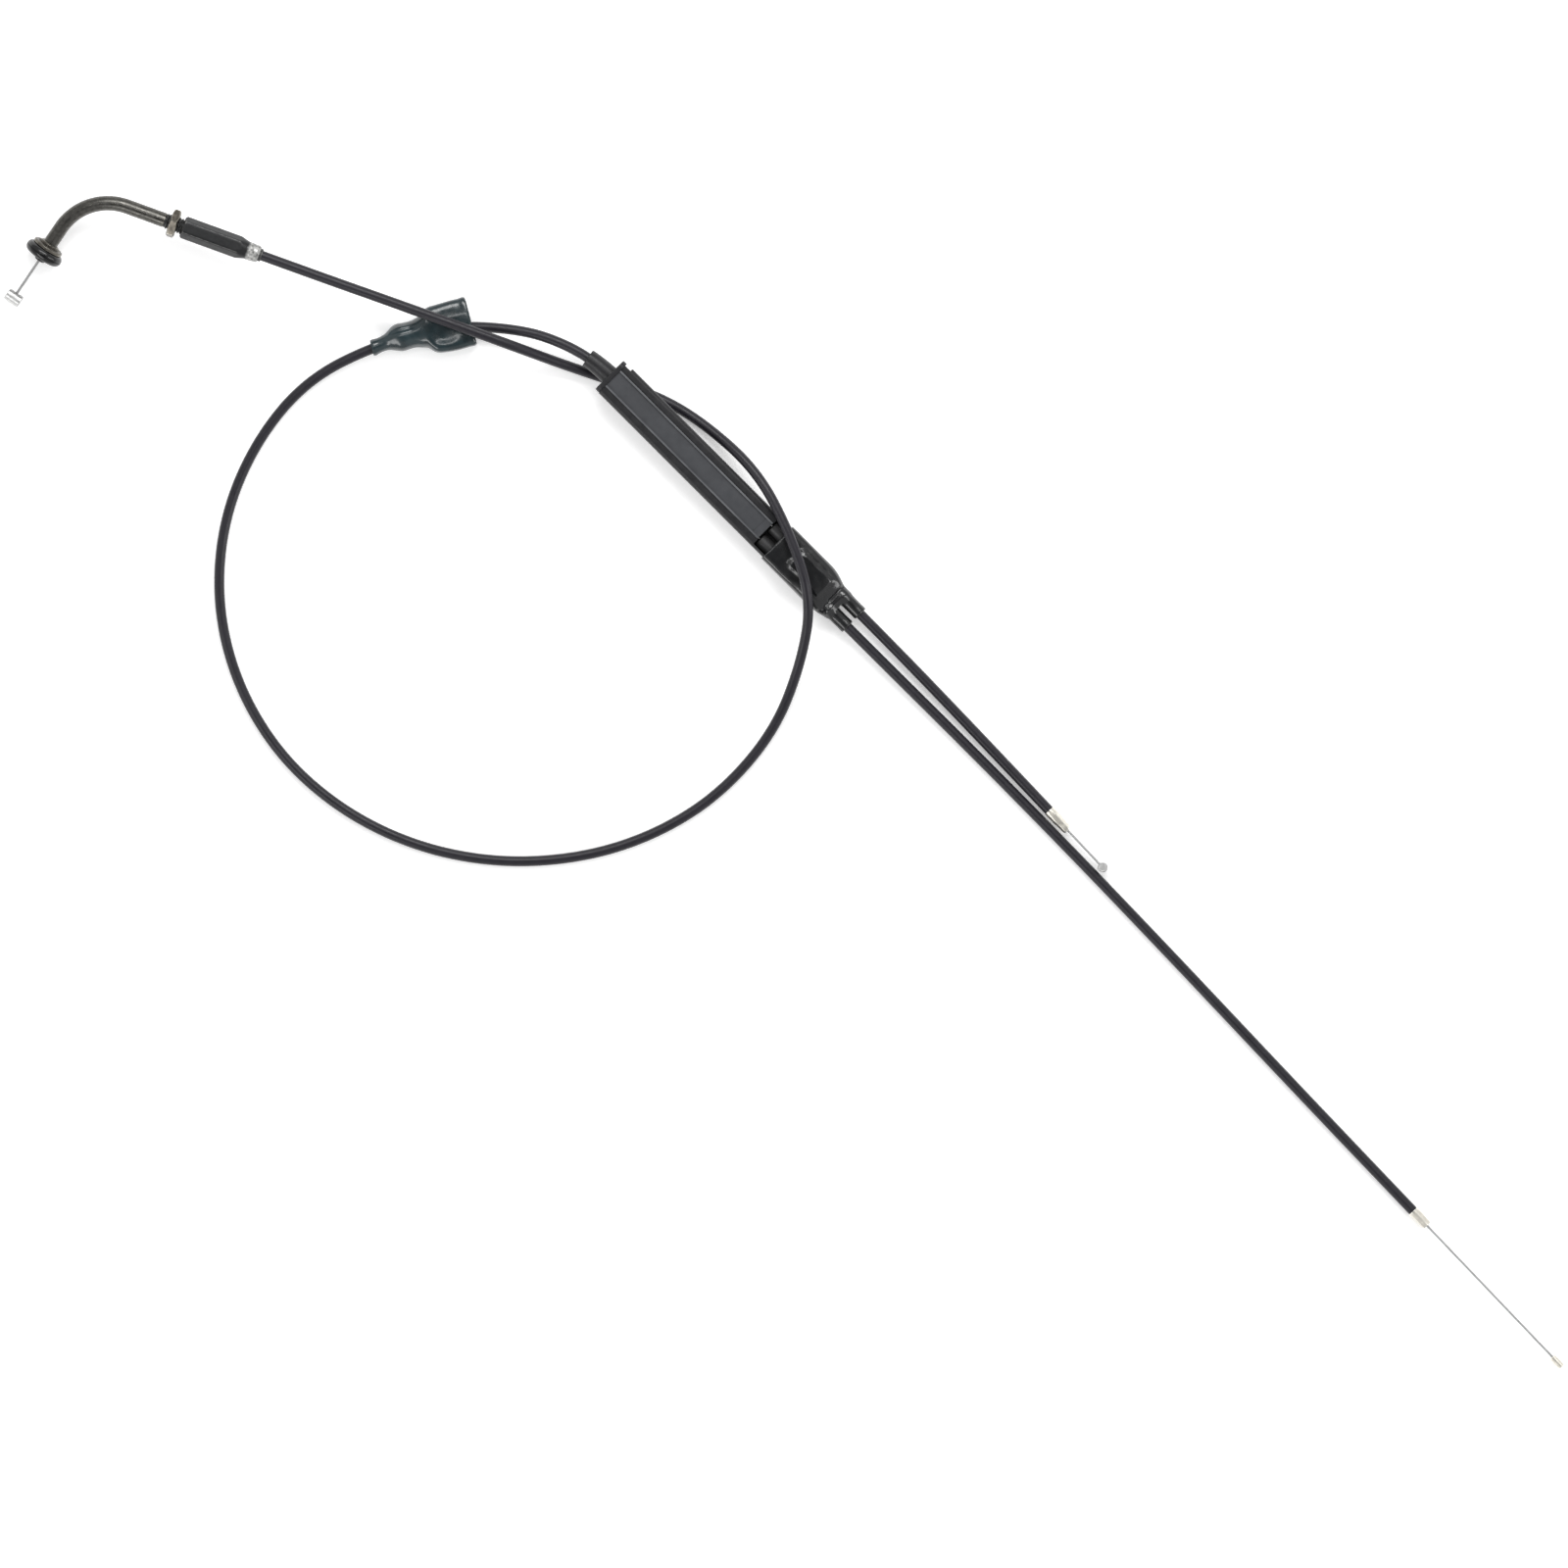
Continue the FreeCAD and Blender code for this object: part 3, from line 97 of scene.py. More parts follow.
def make_cord(name, route):
    """One NURBS spline through its route, with the jacket's diameter."""
    curve = bpy.data.curves.new(name, "CURVE")
    curve.dimensions = "3D"
    spline = curve.splines.new("NURBS")
    spline.points.add(len(route) - 1)
    for point, place in zip(spline.points, route):
        point.co = (*place, 1.0)
    spline.order_u = 3
    spline.use_endpoint_u = True
    spline.resolution_u = 14
    curve.bevel_depth = JACKET / 2
    curve.bevel_resolution = 7
    curve.use_fill_caps = True
    cord = bpy.data.objects.new(name, curve)
    SCENE.collection.objects.link(cord)
    return cord


def centreline(cord):
    """Points of a cord's own smooth line, in millimetres."""
    bare = cord.copy()
    bare.data = cord.data.copy()
    bare.data.bevel_depth = 0.0
    SCENE.collection.objects.link(bare)
    mesh = bpy.data.meshes.new_from_object(bare)
    points = [vertex.co / MM for vertex in mesh.vertices]
    bpy.data.objects.remove(bare)
    bpy.data.meshes.remove(mesh)
    return points


throttle_cable = make_cord("throttle_cable", THROTTLE_ROUTE)
carb_cable = make_cord("carb_cable", CARB_ROUTE)
pump_cable = make_cord("pump_cable", PUMP_ROUTE)


# ---- materials ----------------------------------------------------------------------------------

COAT_ROUGH = 0.10
ROUGH_PATCH = 3.0


def set_range(node, from_min, from_max, to_min, to_max):
    """Sets the four limits of a Map Range node."""
    node.inputs["From Min"].default_value = from_min
    node.inputs["From Max"].default_value = from_max
    node.inputs["To Min"].default_value = to_min
    node.inputs["To Max"].default_value = to_max


def finish(name, base, rough, metal=0.0, tone=0.12, tone_size=7.0, rough_spread=0.06, grain=0.15,
           grain_size=0.35, grain_deep=0.02, coat=0.0, specular=0.5, wear_and_sheen_colour=None, wear_and_sheen_rough=0.25,
           wear_and_sheen_patch=2.0):
    """Surface with uneven tone and roughness, a fine grain, and a lighter colour on its sharp
    outward edges: bare colour where metal is worn, and on the lid a painted highlight along its
    ribs. Sizes are in millimetres."""
    material = bpy.data.materials.new(name)
    material.use_nodes = True
    tree = material.node_tree
    shader = tree.nodes["Principled BSDF"]
    shader.inputs["Metallic"].default_value = metal
    shader.inputs["Coat Weight"].default_value = coat
    shader.inputs["Coat Roughness"].default_value = COAT_ROUGH
    shader.inputs["Specular IOR Level"].default_value = specular
    place = tree.nodes.new("ShaderNodeTexCoord").outputs["Object"]

    def cloud(size, detail):
        texture = tree.nodes.new("ShaderNodeTexNoise")
        texture.inputs["Scale"].default_value = 1.0 / (size * MM)
        texture.inputs["Detail"].default_value = detail
        tree.links.new(place, texture.inputs["Vector"])
        return texture.outputs["Fac"]

    def ranged(value, low, high, start=0.3, end=0.7):
        node = tree.nodes.new("ShaderNodeMapRange")
        set_range(node, start, end, low, high)
        tree.links.new(value, node.inputs["Value"])
        return node.outputs["Result"]

    def mixed(factor, first, second):
        node = tree.nodes.new("ShaderNodeMix")
        node.data_type = "RGBA"
        for socket, value in ((node.inputs["A"], first), (node.inputs["B"], second)):
            if isinstance(value, bpy.types.NodeSocket):
                tree.links.new(value, socket)
            else:
                socket.default_value = (*value, 1.0)
        tree.links.new(factor, node.inputs["Factor"])
        return node.outputs["Result"]

    dark = [part * (1.0 - tone) for part in base]
    light = [part * (1.0 + tone) for part in base]
    colour = mixed(ranged(cloud(tone_size, 3.0), 0.0, 1.0), dark, light)
    roughness = ranged(cloud(ROUGH_PATCH, 4.0), rough - rough_spread, rough + rough_spread)
    # Sharp outward edges take a lighter colour: bare metal where worn, and on the lid a painted
    # highlight along its ribs.
    if wear_and_sheen_colour:
        edge = tree.nodes.new("ShaderNodeAttribute")
        edge.attribute_name = "wear_and_sheen"
        patch = tree.nodes.new("ShaderNodeMath")
        patch.operation = "MULTIPLY"
        tree.links.new(edge.outputs["Fac"], patch.inputs[0])
        tree.links.new(ranged(cloud(wear_and_sheen_patch, 3.0), 0.25, 1.0, 0.35, 0.6), patch.inputs[1])
        colour = mixed(patch.outputs["Value"], colour, wear_and_sheen_colour)
        smoother = tree.nodes.new("ShaderNodeMix")
        tree.links.new(patch.outputs["Value"], smoother.inputs["Factor"])
        tree.links.new(roughness, smoother.inputs["A"])
        smoother.inputs["B"].default_value = wear_and_sheen_rough
        roughness = smoother.outputs["Result"]
    tree.links.new(colour, shader.inputs["Base Color"])
    tree.links.new(roughness, shader.inputs["Roughness"])
    bump = tree.nodes.new("ShaderNodeBump")
    bump.inputs["Strength"].default_value = grain
    bump.inputs["Distance"].default_value = grain_deep * MM
    tree.links.new(cloud(grain_size, 3.0), bump.inputs["Height"])
    tree.links.new(bump.outputs["Normal"], shader.inputs["Normal"])
    return material


FINISHES = {
    "jacket_black": finish(
        "jacket_black", (0.0140, 0.0128, 0.0180), 0.38, grain=0.5, grain_size=0.4, specular=0.38),
    "conduit_steel": finish("conduit_steel", (0.35, 0.35, 0.35), 0.35, metal=1.0),
    "wire_steel": finish(
        "wire_steel", (0.46, 0.46, 0.46), 0.42, metal=1.0, tone=0.08, tone_size=2.0),
    "elbow_zinc": finish(
        "elbow_zinc", (0.105, 0.102, 0.094), 0.31, metal=1.0, tone=0.22, tone_size=1.6,
        rough_spread=0.10, grain=0.7, grain_size=0.7, grain_deep=0.03, wear_and_sheen_colour=(0.18, 0.17, 0.15),
        wear_and_sheen_rough=0.3),
    "flange_steel": finish(
        "flange_steel", (0.095, 0.088, 0.077), 0.32, metal=1.0, tone=0.25, tone_size=3.0,
        rough_spread=0.08, wear_and_sheen_colour=(0.33, 0.31, 0.27), grain=0.3),
    "grommet_rubber": finish(
        "grommet_rubber", (0.005, 0.005, 0.0055), 0.20, tone=0.2, rough_spread=0.07, grain=0.3,
        grain_size=0.8),
    "bush_nylon": finish("bush_nylon", (0.02, 0.02, 0.02), 0.4),
    "nut_zinc": finish(
        "nut_zinc", (0.165, 0.150, 0.127), 0.34, metal=1.0, tone=0.45, tone_size=2.0,
        rough_spread=0.1, wear_and_sheen_colour=(0.42, 0.40, 0.35), grain=0.4),
    "sleeve_oxide": finish(
        "sleeve_oxide", (0.0120, 0.0126, 0.0134), 0.36, metal=0.3, tone=0.25, tone_size=2.5,
        rough_spread=0.10, wear_and_sheen_colour=(0.66, 0.66, 0.64), wear_and_sheen_rough=0.3, wear_and_sheen_patch=1.6, grain=0.5,
        grain_size=0.5),
    "case_plastic": finish(
        "case_plastic", (0.0125, 0.0125, 0.0142), 0.40, tone=0.15, tone_size=12.0, grain=0.45,
        grain_size=0.5, specular=0.4),
    # The lid's lighter edge colour is a painted highlight on the bevels of its ribs, kept unbroken
    # by its large patch size.
    "lid_plastic": finish(
        "lid_plastic", (0.0440, 0.0460, 0.0515), 0.40, tone=0.1, tone_size=14.0, grain=0.45,
        grain_size=0.5, wear_and_sheen_colour=(0.19, 0.195, 0.205), wear_and_sheen_rough=0.35, wear_and_sheen_patch=20.0),
    "plug_plastic": finish("plug_plastic", (0.030, 0.030, 0.031), 0.42),
    "slider_acetal": finish("slider_acetal", (0.55, 0.54, 0.50), 0.4),
    "boot_rubber": finish(
        "boot_rubber", (0.0135, 0.0255, 0.0300), 0.20, tone=0.4, tone_size=9.0, rough_spread=0.06,
        grain=0.6, grain_size=3.0, grain_deep=0.10, coat=0.3, specular=0.6),
    "boot_black": finish(
        "boot_black", (0.0075, 0.0080, 0.0090), 0.22, tone=0.3, tone_size=9.0, rough_spread=0.06,
        grain=0.6, grain_size=3.0, grain_deep=0.08, coat=0.3, specular=0.6),
    "ferrule_nickel": finish(
        "ferrule_nickel", (0.80, 0.77, 0.69), 0.42, metal=1.0, tone=0.1, tone_size=2.0,
        rough_spread=0.07, grain=0.3, grain_size=0.5, wear_and_sheen_colour=(0.88, 0.86, 0.80), wear_and_sheen_rough=0.2),
    "nipple_zinc": finish(
        "nipple_zinc", (0.56, 0.56, 0.555), 0.52, metal=1.0, tone=0.15, tone_size=2.0,
        rough_spread=0.08, grain=0.4, grain_size=0.5, wear_and_sheen_colour=(0.62, 0.62, 0.61), wear_and_sheen_rough=0.25),
}


def finish_cad_nodes():
    """Every CAD node that stays takes its finish from the slot that it already has."""
    for node in NODES.values():
        for place in node.material_slots:
            place.material = FINISHES[place.material.name.split(".")[0]]


finish_cad_nodes()


# ---- frames, in millimetres: local Z runs along a piece, local Y is up --------------------------

def heading(degrees, rise=0.0):
    """Unit vector at a heading from +X and a rise above level."""
    turn, lift = math.radians(degrees), math.radians(rise)
    level = math.cos(lift)
    return Vector((level * math.cos(turn), level * math.sin(turn), math.sin(lift)))


def axes(origin, x, y, z):
    """Matrix from three axes and an origin."""
    matrix = Matrix((x, y, z)).transposed().to_4x4()
    matrix.translation = Vector(origin)
    return matrix


def along_frame(origin, along):
    """Matrix with local Z along a direction and local Y as near to up as it can be."""
    z = Vector(along).normalized()
    x = UP.cross(z).normalized()
    return axes(origin, x, z.cross(x), z)


def end_frame(route):
    """Where a lower jacket ends, local Z on along the wire."""
    last, before = Vector(route[-1]) / MM, Vector(route[-2]) / MM
    return along_frame(last, last - before)


ARM_HEADING = 25.0
NUT = Vector((-163.7, -12.2, 16.45))
ELBOW_ROLL = math.radians(10.3)
ELBOW_CORNER, ELBOW_RADIUS, ELBOW_TURN = 45.9, 28.0, math.radians(75.7)
BEND_START = ELBOW_CORNER - ELBOW_RADIUS * math.tan(ELBOW_TURN / 2)
BEND_LONG = ELBOW_RADIUS * ELBOW_TURN
LEG_END = 40.1

ARM = along_frame(NUT, heading(ARM_HEADING))
OUTWARD = heading(ARM_HEADING + 180.0)
INWARD = heading(ARM_HEADING - 90.0) * math.cos(ELBOW_ROLL) - UP * math.sin(ELBOW_ROLL)
ELBOW = axes(NUT, OUTWARD, INWARD, OUTWARD.cross(INWARD))
LEG = along_frame(
    ELBOW @ Vector((ELBOW_CORNER, 0.0, 0.0)),
    OUTWARD * math.cos(ELBOW_TURN) + INWARD * math.sin(ELBOW_TURN))
SPLITTER = along_frame((96.8, 86.1, 11.0), heading(0.0, -2.1))
LOOSE = along_frame((-52.9, 13.5, 6.98), heading(59.7, 1.0))
CARB_END = end_frame(CARB_ROUTE)
PUMP_END = end_frame(PUMP_ROUTE)
CARB_ACROSS, PUMP_ACROSS = -4.8, 4.2


# ---- building blocks, in millimetres in a piece's own frame -------------------------------------

def loft(rings, loop=False):
    """Skin through rings of the same number of points. A loop joins the last ring to the first,
    and otherwise both ends are capped."""
    mesh = bmesh.new()
    rows = [[mesh.verts.new(point) for point in ring] for ring in rings]
    pairs = list(zip(rows, rows[1:]))
    if loop:
        pairs.append((rows[-1], rows[0]))
    for low, high in pairs:
        for j in range(len(low)):
            k = (j + 1) % len(low)
            mesh.faces.new((low[j], low[k], high[k], high[j]))
    if not loop:
        mesh.faces.new(rows[0])
        mesh.faces.new(rows[-1])
    bmesh.ops.recalc_face_normals(mesh, faces=mesh.faces)
    return mesh


def circle(radius, along, steps=72):
    """Ring of points round local Z; radius may be a function of the angle."""
    ring = []
    for step in range(steps):
        angle = math.tau * step / steps
        reach = radius(angle) if callable(radius) else radius
        ring.append(Vector((reach * math.cos(angle), reach * math.sin(angle), along)))
    return ring


def turned(outline, bore=True, steps=72):
    """Solid of revolution from (radius, along) corners, which go round a bore unless it has
    none."""
    return loft([circle(radius, along, steps) for radius, along in outline], loop=bore)


def prism(outline, start, end):
    """Straight bar with an (across, up) outline."""
    return loft([[Vector((x, y, along)) for x, y in outline] for along in (start, end)])


CORNER_POINTS = 7


def rectangle(wide, high, round_by=0.0, across=0.0, up=0.0):
    """Outline of a rectangle whose corners are arcs."""
    points = []
    for quarter, (sx, sy) in enumerate(((1, 1), (-1, 1), (-1, -1), (1, -1))):
        centre = (across + sx * (wide / 2 - round_by), up + sy * (high / 2 - round_by))
        if not round_by:
            points.append(centre)
            continue
        for step in range(CORNER_POINTS):
            angle = math.radians(90.0 * (quarter + step / (CORNER_POINTS - 1)))
            points.append((centre[0] + round_by * math.cos(angle),
                           centre[1] + round_by * math.sin(angle)))
    return points


def moved(mesh, place):
    """The same mesh, moved by a matrix."""
    bmesh.ops.transform(mesh, matrix=place, verts=mesh.verts)
    return mesh


def shifted(mesh, across=0.0, along=0.0):
    """The same mesh, moved across and along."""
    return moved(mesh, Matrix.Translation((across, 0.0, along)))


def stand_in(mesh, name="working"):
    """Blender object that holds a bmesh while modifiers work on it."""
    data = bpy.data.meshes.new(name)
    mesh.to_mesh(data)
    mesh.free()
    obj = bpy.data.objects.new(name, data)
    SCENE.collection.objects.link(obj)
    return obj


def shaped_mesh(obj):
    """New mesh of an object with its modifiers applied."""
    bpy.context.view_layer.update()
    shaped = obj.evaluated_get(bpy.context.evaluated_depsgraph_get())
    return bpy.data.meshes.new_from_object(shaped)


def worked(obj, *others):
    """The object's mesh with its modifiers applied, as a bmesh; the objects are removed."""
    data = shaped_mesh(obj)
    mesh = bmesh.new()
    mesh.from_mesh(data)
    bpy.data.meshes.remove(data)
    for used in (obj, *others):
        bpy.data.objects.remove(used)
    return mesh


def combine(first, second, operation):
    """Boolean of two bmeshes: UNION, DIFFERENCE or INTERSECT."""
    base, tool = stand_in(first, "first"), stand_in(second, "second")
    modifier = base.modifiers.new("boolean", "BOOLEAN")
    modifier.operation = operation
    modifier.solver = "EXACT"
    modifier.object = tool
    return worked(base, tool)


def cut(mesh, *tools):
    """The mesh less every tool."""
    for tool in tools:
        mesh = combine(mesh, tool, "DIFFERENCE")
    return mesh


def bevelled(mesh, width, segments=3, angle=28.0):
    """The mesh with its sharp edges rounded."""
    obj = stand_in(mesh)
    modifier = obj.modifiers.new("edges", "BEVEL")
    modifier.width = width
    modifier.segments = segments
    modifier.limit_method = "ANGLE"
    modifier.angle_limit = math.radians(angle)
    return worked(obj)


EDGE_TURN, EDGE_TURN_SPAN = 0.13, 0.25
EDGE_FACE_WIDTH = 2.0
BARE_MOST, BARE_SPAN = 0.8, 1.5
NEVER_BARE = 1000.0
WELD_WITHIN = 0.0004
SHARP_FROM = math.radians(38.0)


def clamped(value):
    """The value, held between 0 and 1."""
    return min(1.0, max(0.0, value))


def mark_wear_and_sheen(mesh, most, bare_from):
    """Stores how much each vertex is lightened: the edges of narrow faces by how sharply they turn
    outwards, in radians, and everything beyond a place along the piece. On metal this marks wear;
    on the lid's ribs it places a painted highlight."""
    layer = mesh.verts.layers.float.new("wear_and_sheen")
    for vertex in mesh.verts:
        turns = [edge.calc_face_angle_signed(0.0) for edge in vertex.link_edges]
        widths = [face.calc_area() / max(edge.calc_length() for edge in face.edges)
                  for face in vertex.link_faces]
        edge_wear_and_sheen = most * clamped((max(turns) - EDGE_TURN) / EDGE_TURN_SPAN)
        edge_wear_and_sheen *= max(widths) < EDGE_FACE_WIDTH
        vertex[layer] = max(edge_wear_and_sheen, BARE_MOST * clamped((vertex.co.z - bare_from) / BARE_SPAN))


def make_piece(name, mesh, place, slot, body, *nodes, wear_and_sheen=1.0, bare_from=NEVER_BARE, look=None):
    """Turns a bmesh in millimetres into a finished piece that rides on a body and replaces nodes.
    Its look is its slot's finish unless another one is named."""
    bmesh.ops.remove_doubles(mesh, verts=mesh.verts, dist=WELD_WITHIN)
    mark_wear_and_sheen(mesh, wear_and_sheen, bare_from)
    obj = stand_in(mesh, name)
    modifier = obj.modifiers.new("shade", "WEIGHTED_NORMAL")
    modifier.keep_sharp = True
    obj.data.shade_smooth()
    obj.data.set_sharp_from_angle(angle=SHARP_FROM)
    data = shaped_mesh(obj)
    obj.modifiers.clear()
    obj.data = data
    data.name = name
    data.transform(Matrix.Scale(MM, 4) @ place)
    data.materials.clear()
    data.materials.append(FINISHES[look or slot])
    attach(obj, body)
    if nodes:
        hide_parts(*nodes)
    return obj


def smooth_rows(rows, step):
    """Rows of numbers, each led by its place along, filled in by smooth curves at a step."""
    table = np.array(rows, float)
    places = table[:, 0]
    slopes = np.gradient(table, places, axis=0)
    filled = []
    for place in np.append(np.arange(places[0], places[-1], step), places[-1]):
        i = min(int(np.searchsorted(places, place, side="right")) - 1, len(places) - 2)
        gap = places[i + 1] - places[i]
        t = (place - places[i]) / gap
        filled.append(
            (2 * t**3 - 3 * t**2 + 1) * table[i] + (t**3 - 2 * t**2 + t) * gap * slopes[i]
            + (3 * t**2 - 2 * t**3) * table[i + 1] + (t**3 - t**2) * gap * slopes[i + 1])
    return filled


def squarish(wide, high, power, across, up, along, steps=72):
    """Ring between an ellipse, power 2, and a rounded rectangle, higher powers."""
    ring = []
    for step in range(steps):
        angle = math.tau * (step + 0.5) / steps
        c, s = math.cos(angle), math.sin(angle)
        reach = (abs(c) ** power + abs(s) ** power) ** (-1.0 / power)
        ring.append(Vector((across + wide * reach * c, up + high * reach * s, along)))
    return ring


STRAND_LOBES, STRAND_LOBE_DEEP, STRAND_LAY = 7, 0.06, 9.0
STRAND_STEP = 0.35


def strand(diameter, start, end):
    """Bare wire rope: a lobed bar that twists once in a lay. Lay and step are in diameters."""
    rings = []
    count = max(2, int((end - start) / (diameter * STRAND_STEP)))
    for i in range(count + 1):
        along = start + (end - start) * i / count
        twist = math.tau * along / (STRAND_LAY * diameter)

        def reach(angle, twist=twist):
            lobe = STRAND_LOBE_DEEP * math.cos(STRAND_LOBES * (angle - twist))
            return diameter / 2 * (1.0 - STRAND_LOBE_DEEP + lobe)

        rings.append(circle(reach, along, steps=42))
    return loft(rings)


# ---- elbow end ----------------------------------------------------------------------------------

TUBE, TUBE_BORE = 3.6, 2.3
THREAD_ROOT, THREAD_CREST, THREAD_PITCH = 3.35, 3.95, 1.25
THREAD_START, THREAD_END = -18.0, 4.5
THREAD_CREST_WIDE, THREAD_FLANK = 1.35, 3.4
THREAD_RUN_IN = 1.2
THREAD_STEPS_A_TURN = 9
ELBOW_SIDES = 64
TUBE_STEP = 1.1
LINER_STEPS = 40


def elbow_ring(along, radius):
    """Ring round the elbow's centreline, at a distance from the nut's centre towards the bend."""
    turn = min(max((along - BEND_START) / ELBOW_RADIUS, 0.0), ELBOW_TURN)
    centre = Vector((min(along, BEND_START), 0.0, 0.0))
    centre += ELBOW_RADIUS * Vector((math.sin(turn), 1.0 - math.cos(turn), 0.0))
    direction = Vector((math.cos(turn), math.sin(turn), 0.0))
    centre += direction * max(along - BEND_START - BEND_LONG, 0.0)
    side = Vector((-direction.y, direction.x, 0.0))
    ring = []
    for step in range(ELBOW_SIDES):
        angle = math.tau * step / ELBOW_SIDES
        reach = radius(angle) if callable(radius) else radius
        ring.append(centre + reach * (side * math.cos(angle) + UP * math.sin(angle)))
    return ring


def thread_radius(along):
    """Radius of the screw thread as a function of the angle, fading out at both ends."""
    fade = clamped(min((along - THREAD_START) / THREAD_RUN_IN, THREAD_END - along))

    def radius(angle):
        phase = (along / THREAD_PITCH - angle / math.tau) % 1.0
        ridge = clamped(THREAD_CREST_WIDE - THREAD_FLANK * abs(phase - 0.5))
        return THREAD_ROOT + (THREAD_CREST - THREAD_ROOT) * ridge * fade

    return radius


def make_elbow():
    """Bent tube, smooth and zinc plated, and its thread, whose near-black finish is painted shade
    for the dark bands on both sides of the nut.
    """
    end = BEND_START + BEND_LONG + LEG_END - (ELBOW_CORNER - BEND_START)
    shoulder = THREAD_END + 0.25

    def inner_rings(start, stop):
        return [elbow_ring(stop + (start - stop) * i / LINER_STEPS, TUBE_BORE)
                for i in range(LINER_STEPS + 1)]

    rings = [elbow_ring(THREAD_END - 0.1, THREAD_ROOT - 0.3), elbow_ring(shoulder, TUBE)]
    steps = int((end - shoulder) / TUBE_STEP)
    rings += [elbow_ring(shoulder + (end - 0.5 - shoulder) * i / steps, TUBE)
              for i in range(1, steps + 1)]
    rings += [elbow_ring(end - 0.15, TUBE - 0.12), elbow_ring(end, TUBE - 0.4)]
    tube = loft(rings + inner_rings(THREAD_END - 0.1, end), loop=True)
    make_piece("bent_tube", tube, ELBOW, "elbow_zinc", "elbow", "elbow_tube")

    rings = [elbow_ring(THREAD_START, THREAD_ROOT - 0.3)]
    steps = int((THREAD_END - THREAD_START) / (THREAD_PITCH / THREAD_STEPS_A_TURN))
    for i in range(steps + 1):
        along = THREAD_START + 0.15 + (THREAD_END - THREAD_START - 0.15) * i / steps
        rings.append(elbow_ring(along, thread_radius(along)))
    thread = loft(rings + inner_rings(THREAD_START, THREAD_END), loop=True)
    # The thread takes the adjuster's near-black finish as painted shade for the dark bands on both
    # sides of the nut.
    make_piece("elbow_thread", thread, ELBOW, "sleeve_oxide", "elbow", "elbow_tube", wear_and_sheen=0.12)


def make_flange():
    """Washer brazed on the leg, with a low collar round the tube and a rounded rim."""
    outline = [
        (3.62, 31.0), (4.5, 31.0), (4.8, 31.4), (4.85, 32.4), (5.0, 33.0), (5.7, 33.0), (6.0, 32.5),
        (6.3, 32.3), (7.3, 32.3), (7.8, 32.7), (7.8, 33.9), (3.62, 33.95),
    ]
    mesh = bevelled(turned(outline, steps=96), 0.16)
    make_piece("flange_washer", mesh, LEG, "flange_steel", "elbow", "elbow_flange")


def make_grommet():
    """Fat rubber ring, whose groove for the edge of a hole is closed to a thin line."""
    middle, half, edge = 36.78, 2.66, 9.7
    bore, face_edge, rim_wide, lip = 3.66, 5.6, 2.3, 0.12
    groove_root, groove_half = 7.0, 0.1
    rim = []
    for step in range(13):
        angle = math.radians(90.0 * step / 12)
        rim.append((edge - rim_wide * (1.0 - math.sin(angle)),
                    half * math.cos(angle) + lip * math.sin(angle)))
    outline = [(bore, middle - half), (face_edge, middle - half)]
    outline += [(radius, middle - out) for radius, out in rim]
    outline += [(groove_root, middle - groove_half), (groove_root, middle + groove_half)]
    outline += [(radius, middle + out) for radius, out in reversed(rim)]
    outline += [(face_edge, middle + half), (bore, middle + half)]
    mesh = turned(outline, steps=96)
    make_piece("grommet_ring", mesh, LEG, "grommet_rubber", "elbow", "elbow_grommet")


def make_bush():
    """Nylon bush in the leg's mouth."""
    outline = [
        (1.0, 34.1), (2.2, 34.1), (2.2, 40.15), (2.8, 40.15), (2.8, 40.8), (2.2, 41.3), (1.3, 41.3),
        (1.0, 41.0),
    ]
    mesh = bevelled(turned(outline, steps=48), 0.12)
    make_piece("end_bush", mesh, LEG, "bush_nylon", "elbow", "elbow_end_bush")


HEX_SIDES = 180
HEX_STEP, HEX_RISE = 0.45, 0.12


def hexed(envelope, flats, turn, soft, bore):
    """Hexagon bar inside a turned envelope of (along, radius) corners, its edges softened, with a
    bore. Rings are a step apart, or closer where the radius changes faster than the rise."""
    def reach_at(radius):
        def reach(angle):
            side = (angle - math.radians(turn)) % (math.pi / 3) - math.pi / 6
            flat = flats / 2 / math.cos(side)
            blend = max(soft - abs(flat - radius), 0.0) / soft
            return min(flat, radius) - blend * blend * soft / 4
        return reach

    rows = [envelope[0]]
    for (start, low), (stop, high) in zip(envelope, envelope[1:]):
        count = max(1, round((stop - start) / HEX_STEP), round(abs(high - low) / HEX_RISE))
        rows += [(start + (stop - start) * i / count, low + (high - low) * i / count)
                 for i in range(1, count + 1)]
    outside = [circle(reach_at(radius), along, HEX_SIDES) for along, radius in rows]
    inside = [circle(radius, along, HEX_SIDES) for along, radius in bore]
    return loft(outside + inside[::-1], loop=True)


def make_nut():
    """Lock nut with one corner nearly up and chamfered faces."""
    mesh = hexed([(-2.0, 4.6), (-2.0, 6.0), (-1.15, 7.5), (1.15, 7.5), (2.0, 6.0), (2.0, 4.6)],
                 13.0, 82.0, 0.16, [(-1.6, 4.1), (1.6, 4.1)])
    make_piece("hex_lock_nut", mesh, ARM, "nut_zinc", "lock_nut", "lock_nut")


def make_sleeve():
    """Long hexagon adjuster with rounded corners, which tapers to a round collar."""
    collar = 38.0
    envelope = [
        (4.7, 4.5), (4.7, 4.85), (5.5, 5.6), (33.5, 5.6), (collar, 4.4), (39.0, 4.5), (43.2, 4.3),
        (44.0, 4.05), (44.4, 3.7),
    ]
    bore = [(5.1, 4.15), (30.0, 4.15), (30.0, 3.5), (44.2, 3.5)]
    make_piece("hex_adjuster", hexed(envelope, 10.0, 0.0, 0.35, bore), ARM, "sleeve_oxide",
               "adjuster", "adjuster_sleeve", wear_and_sheen=0.25, bare_from=collar)


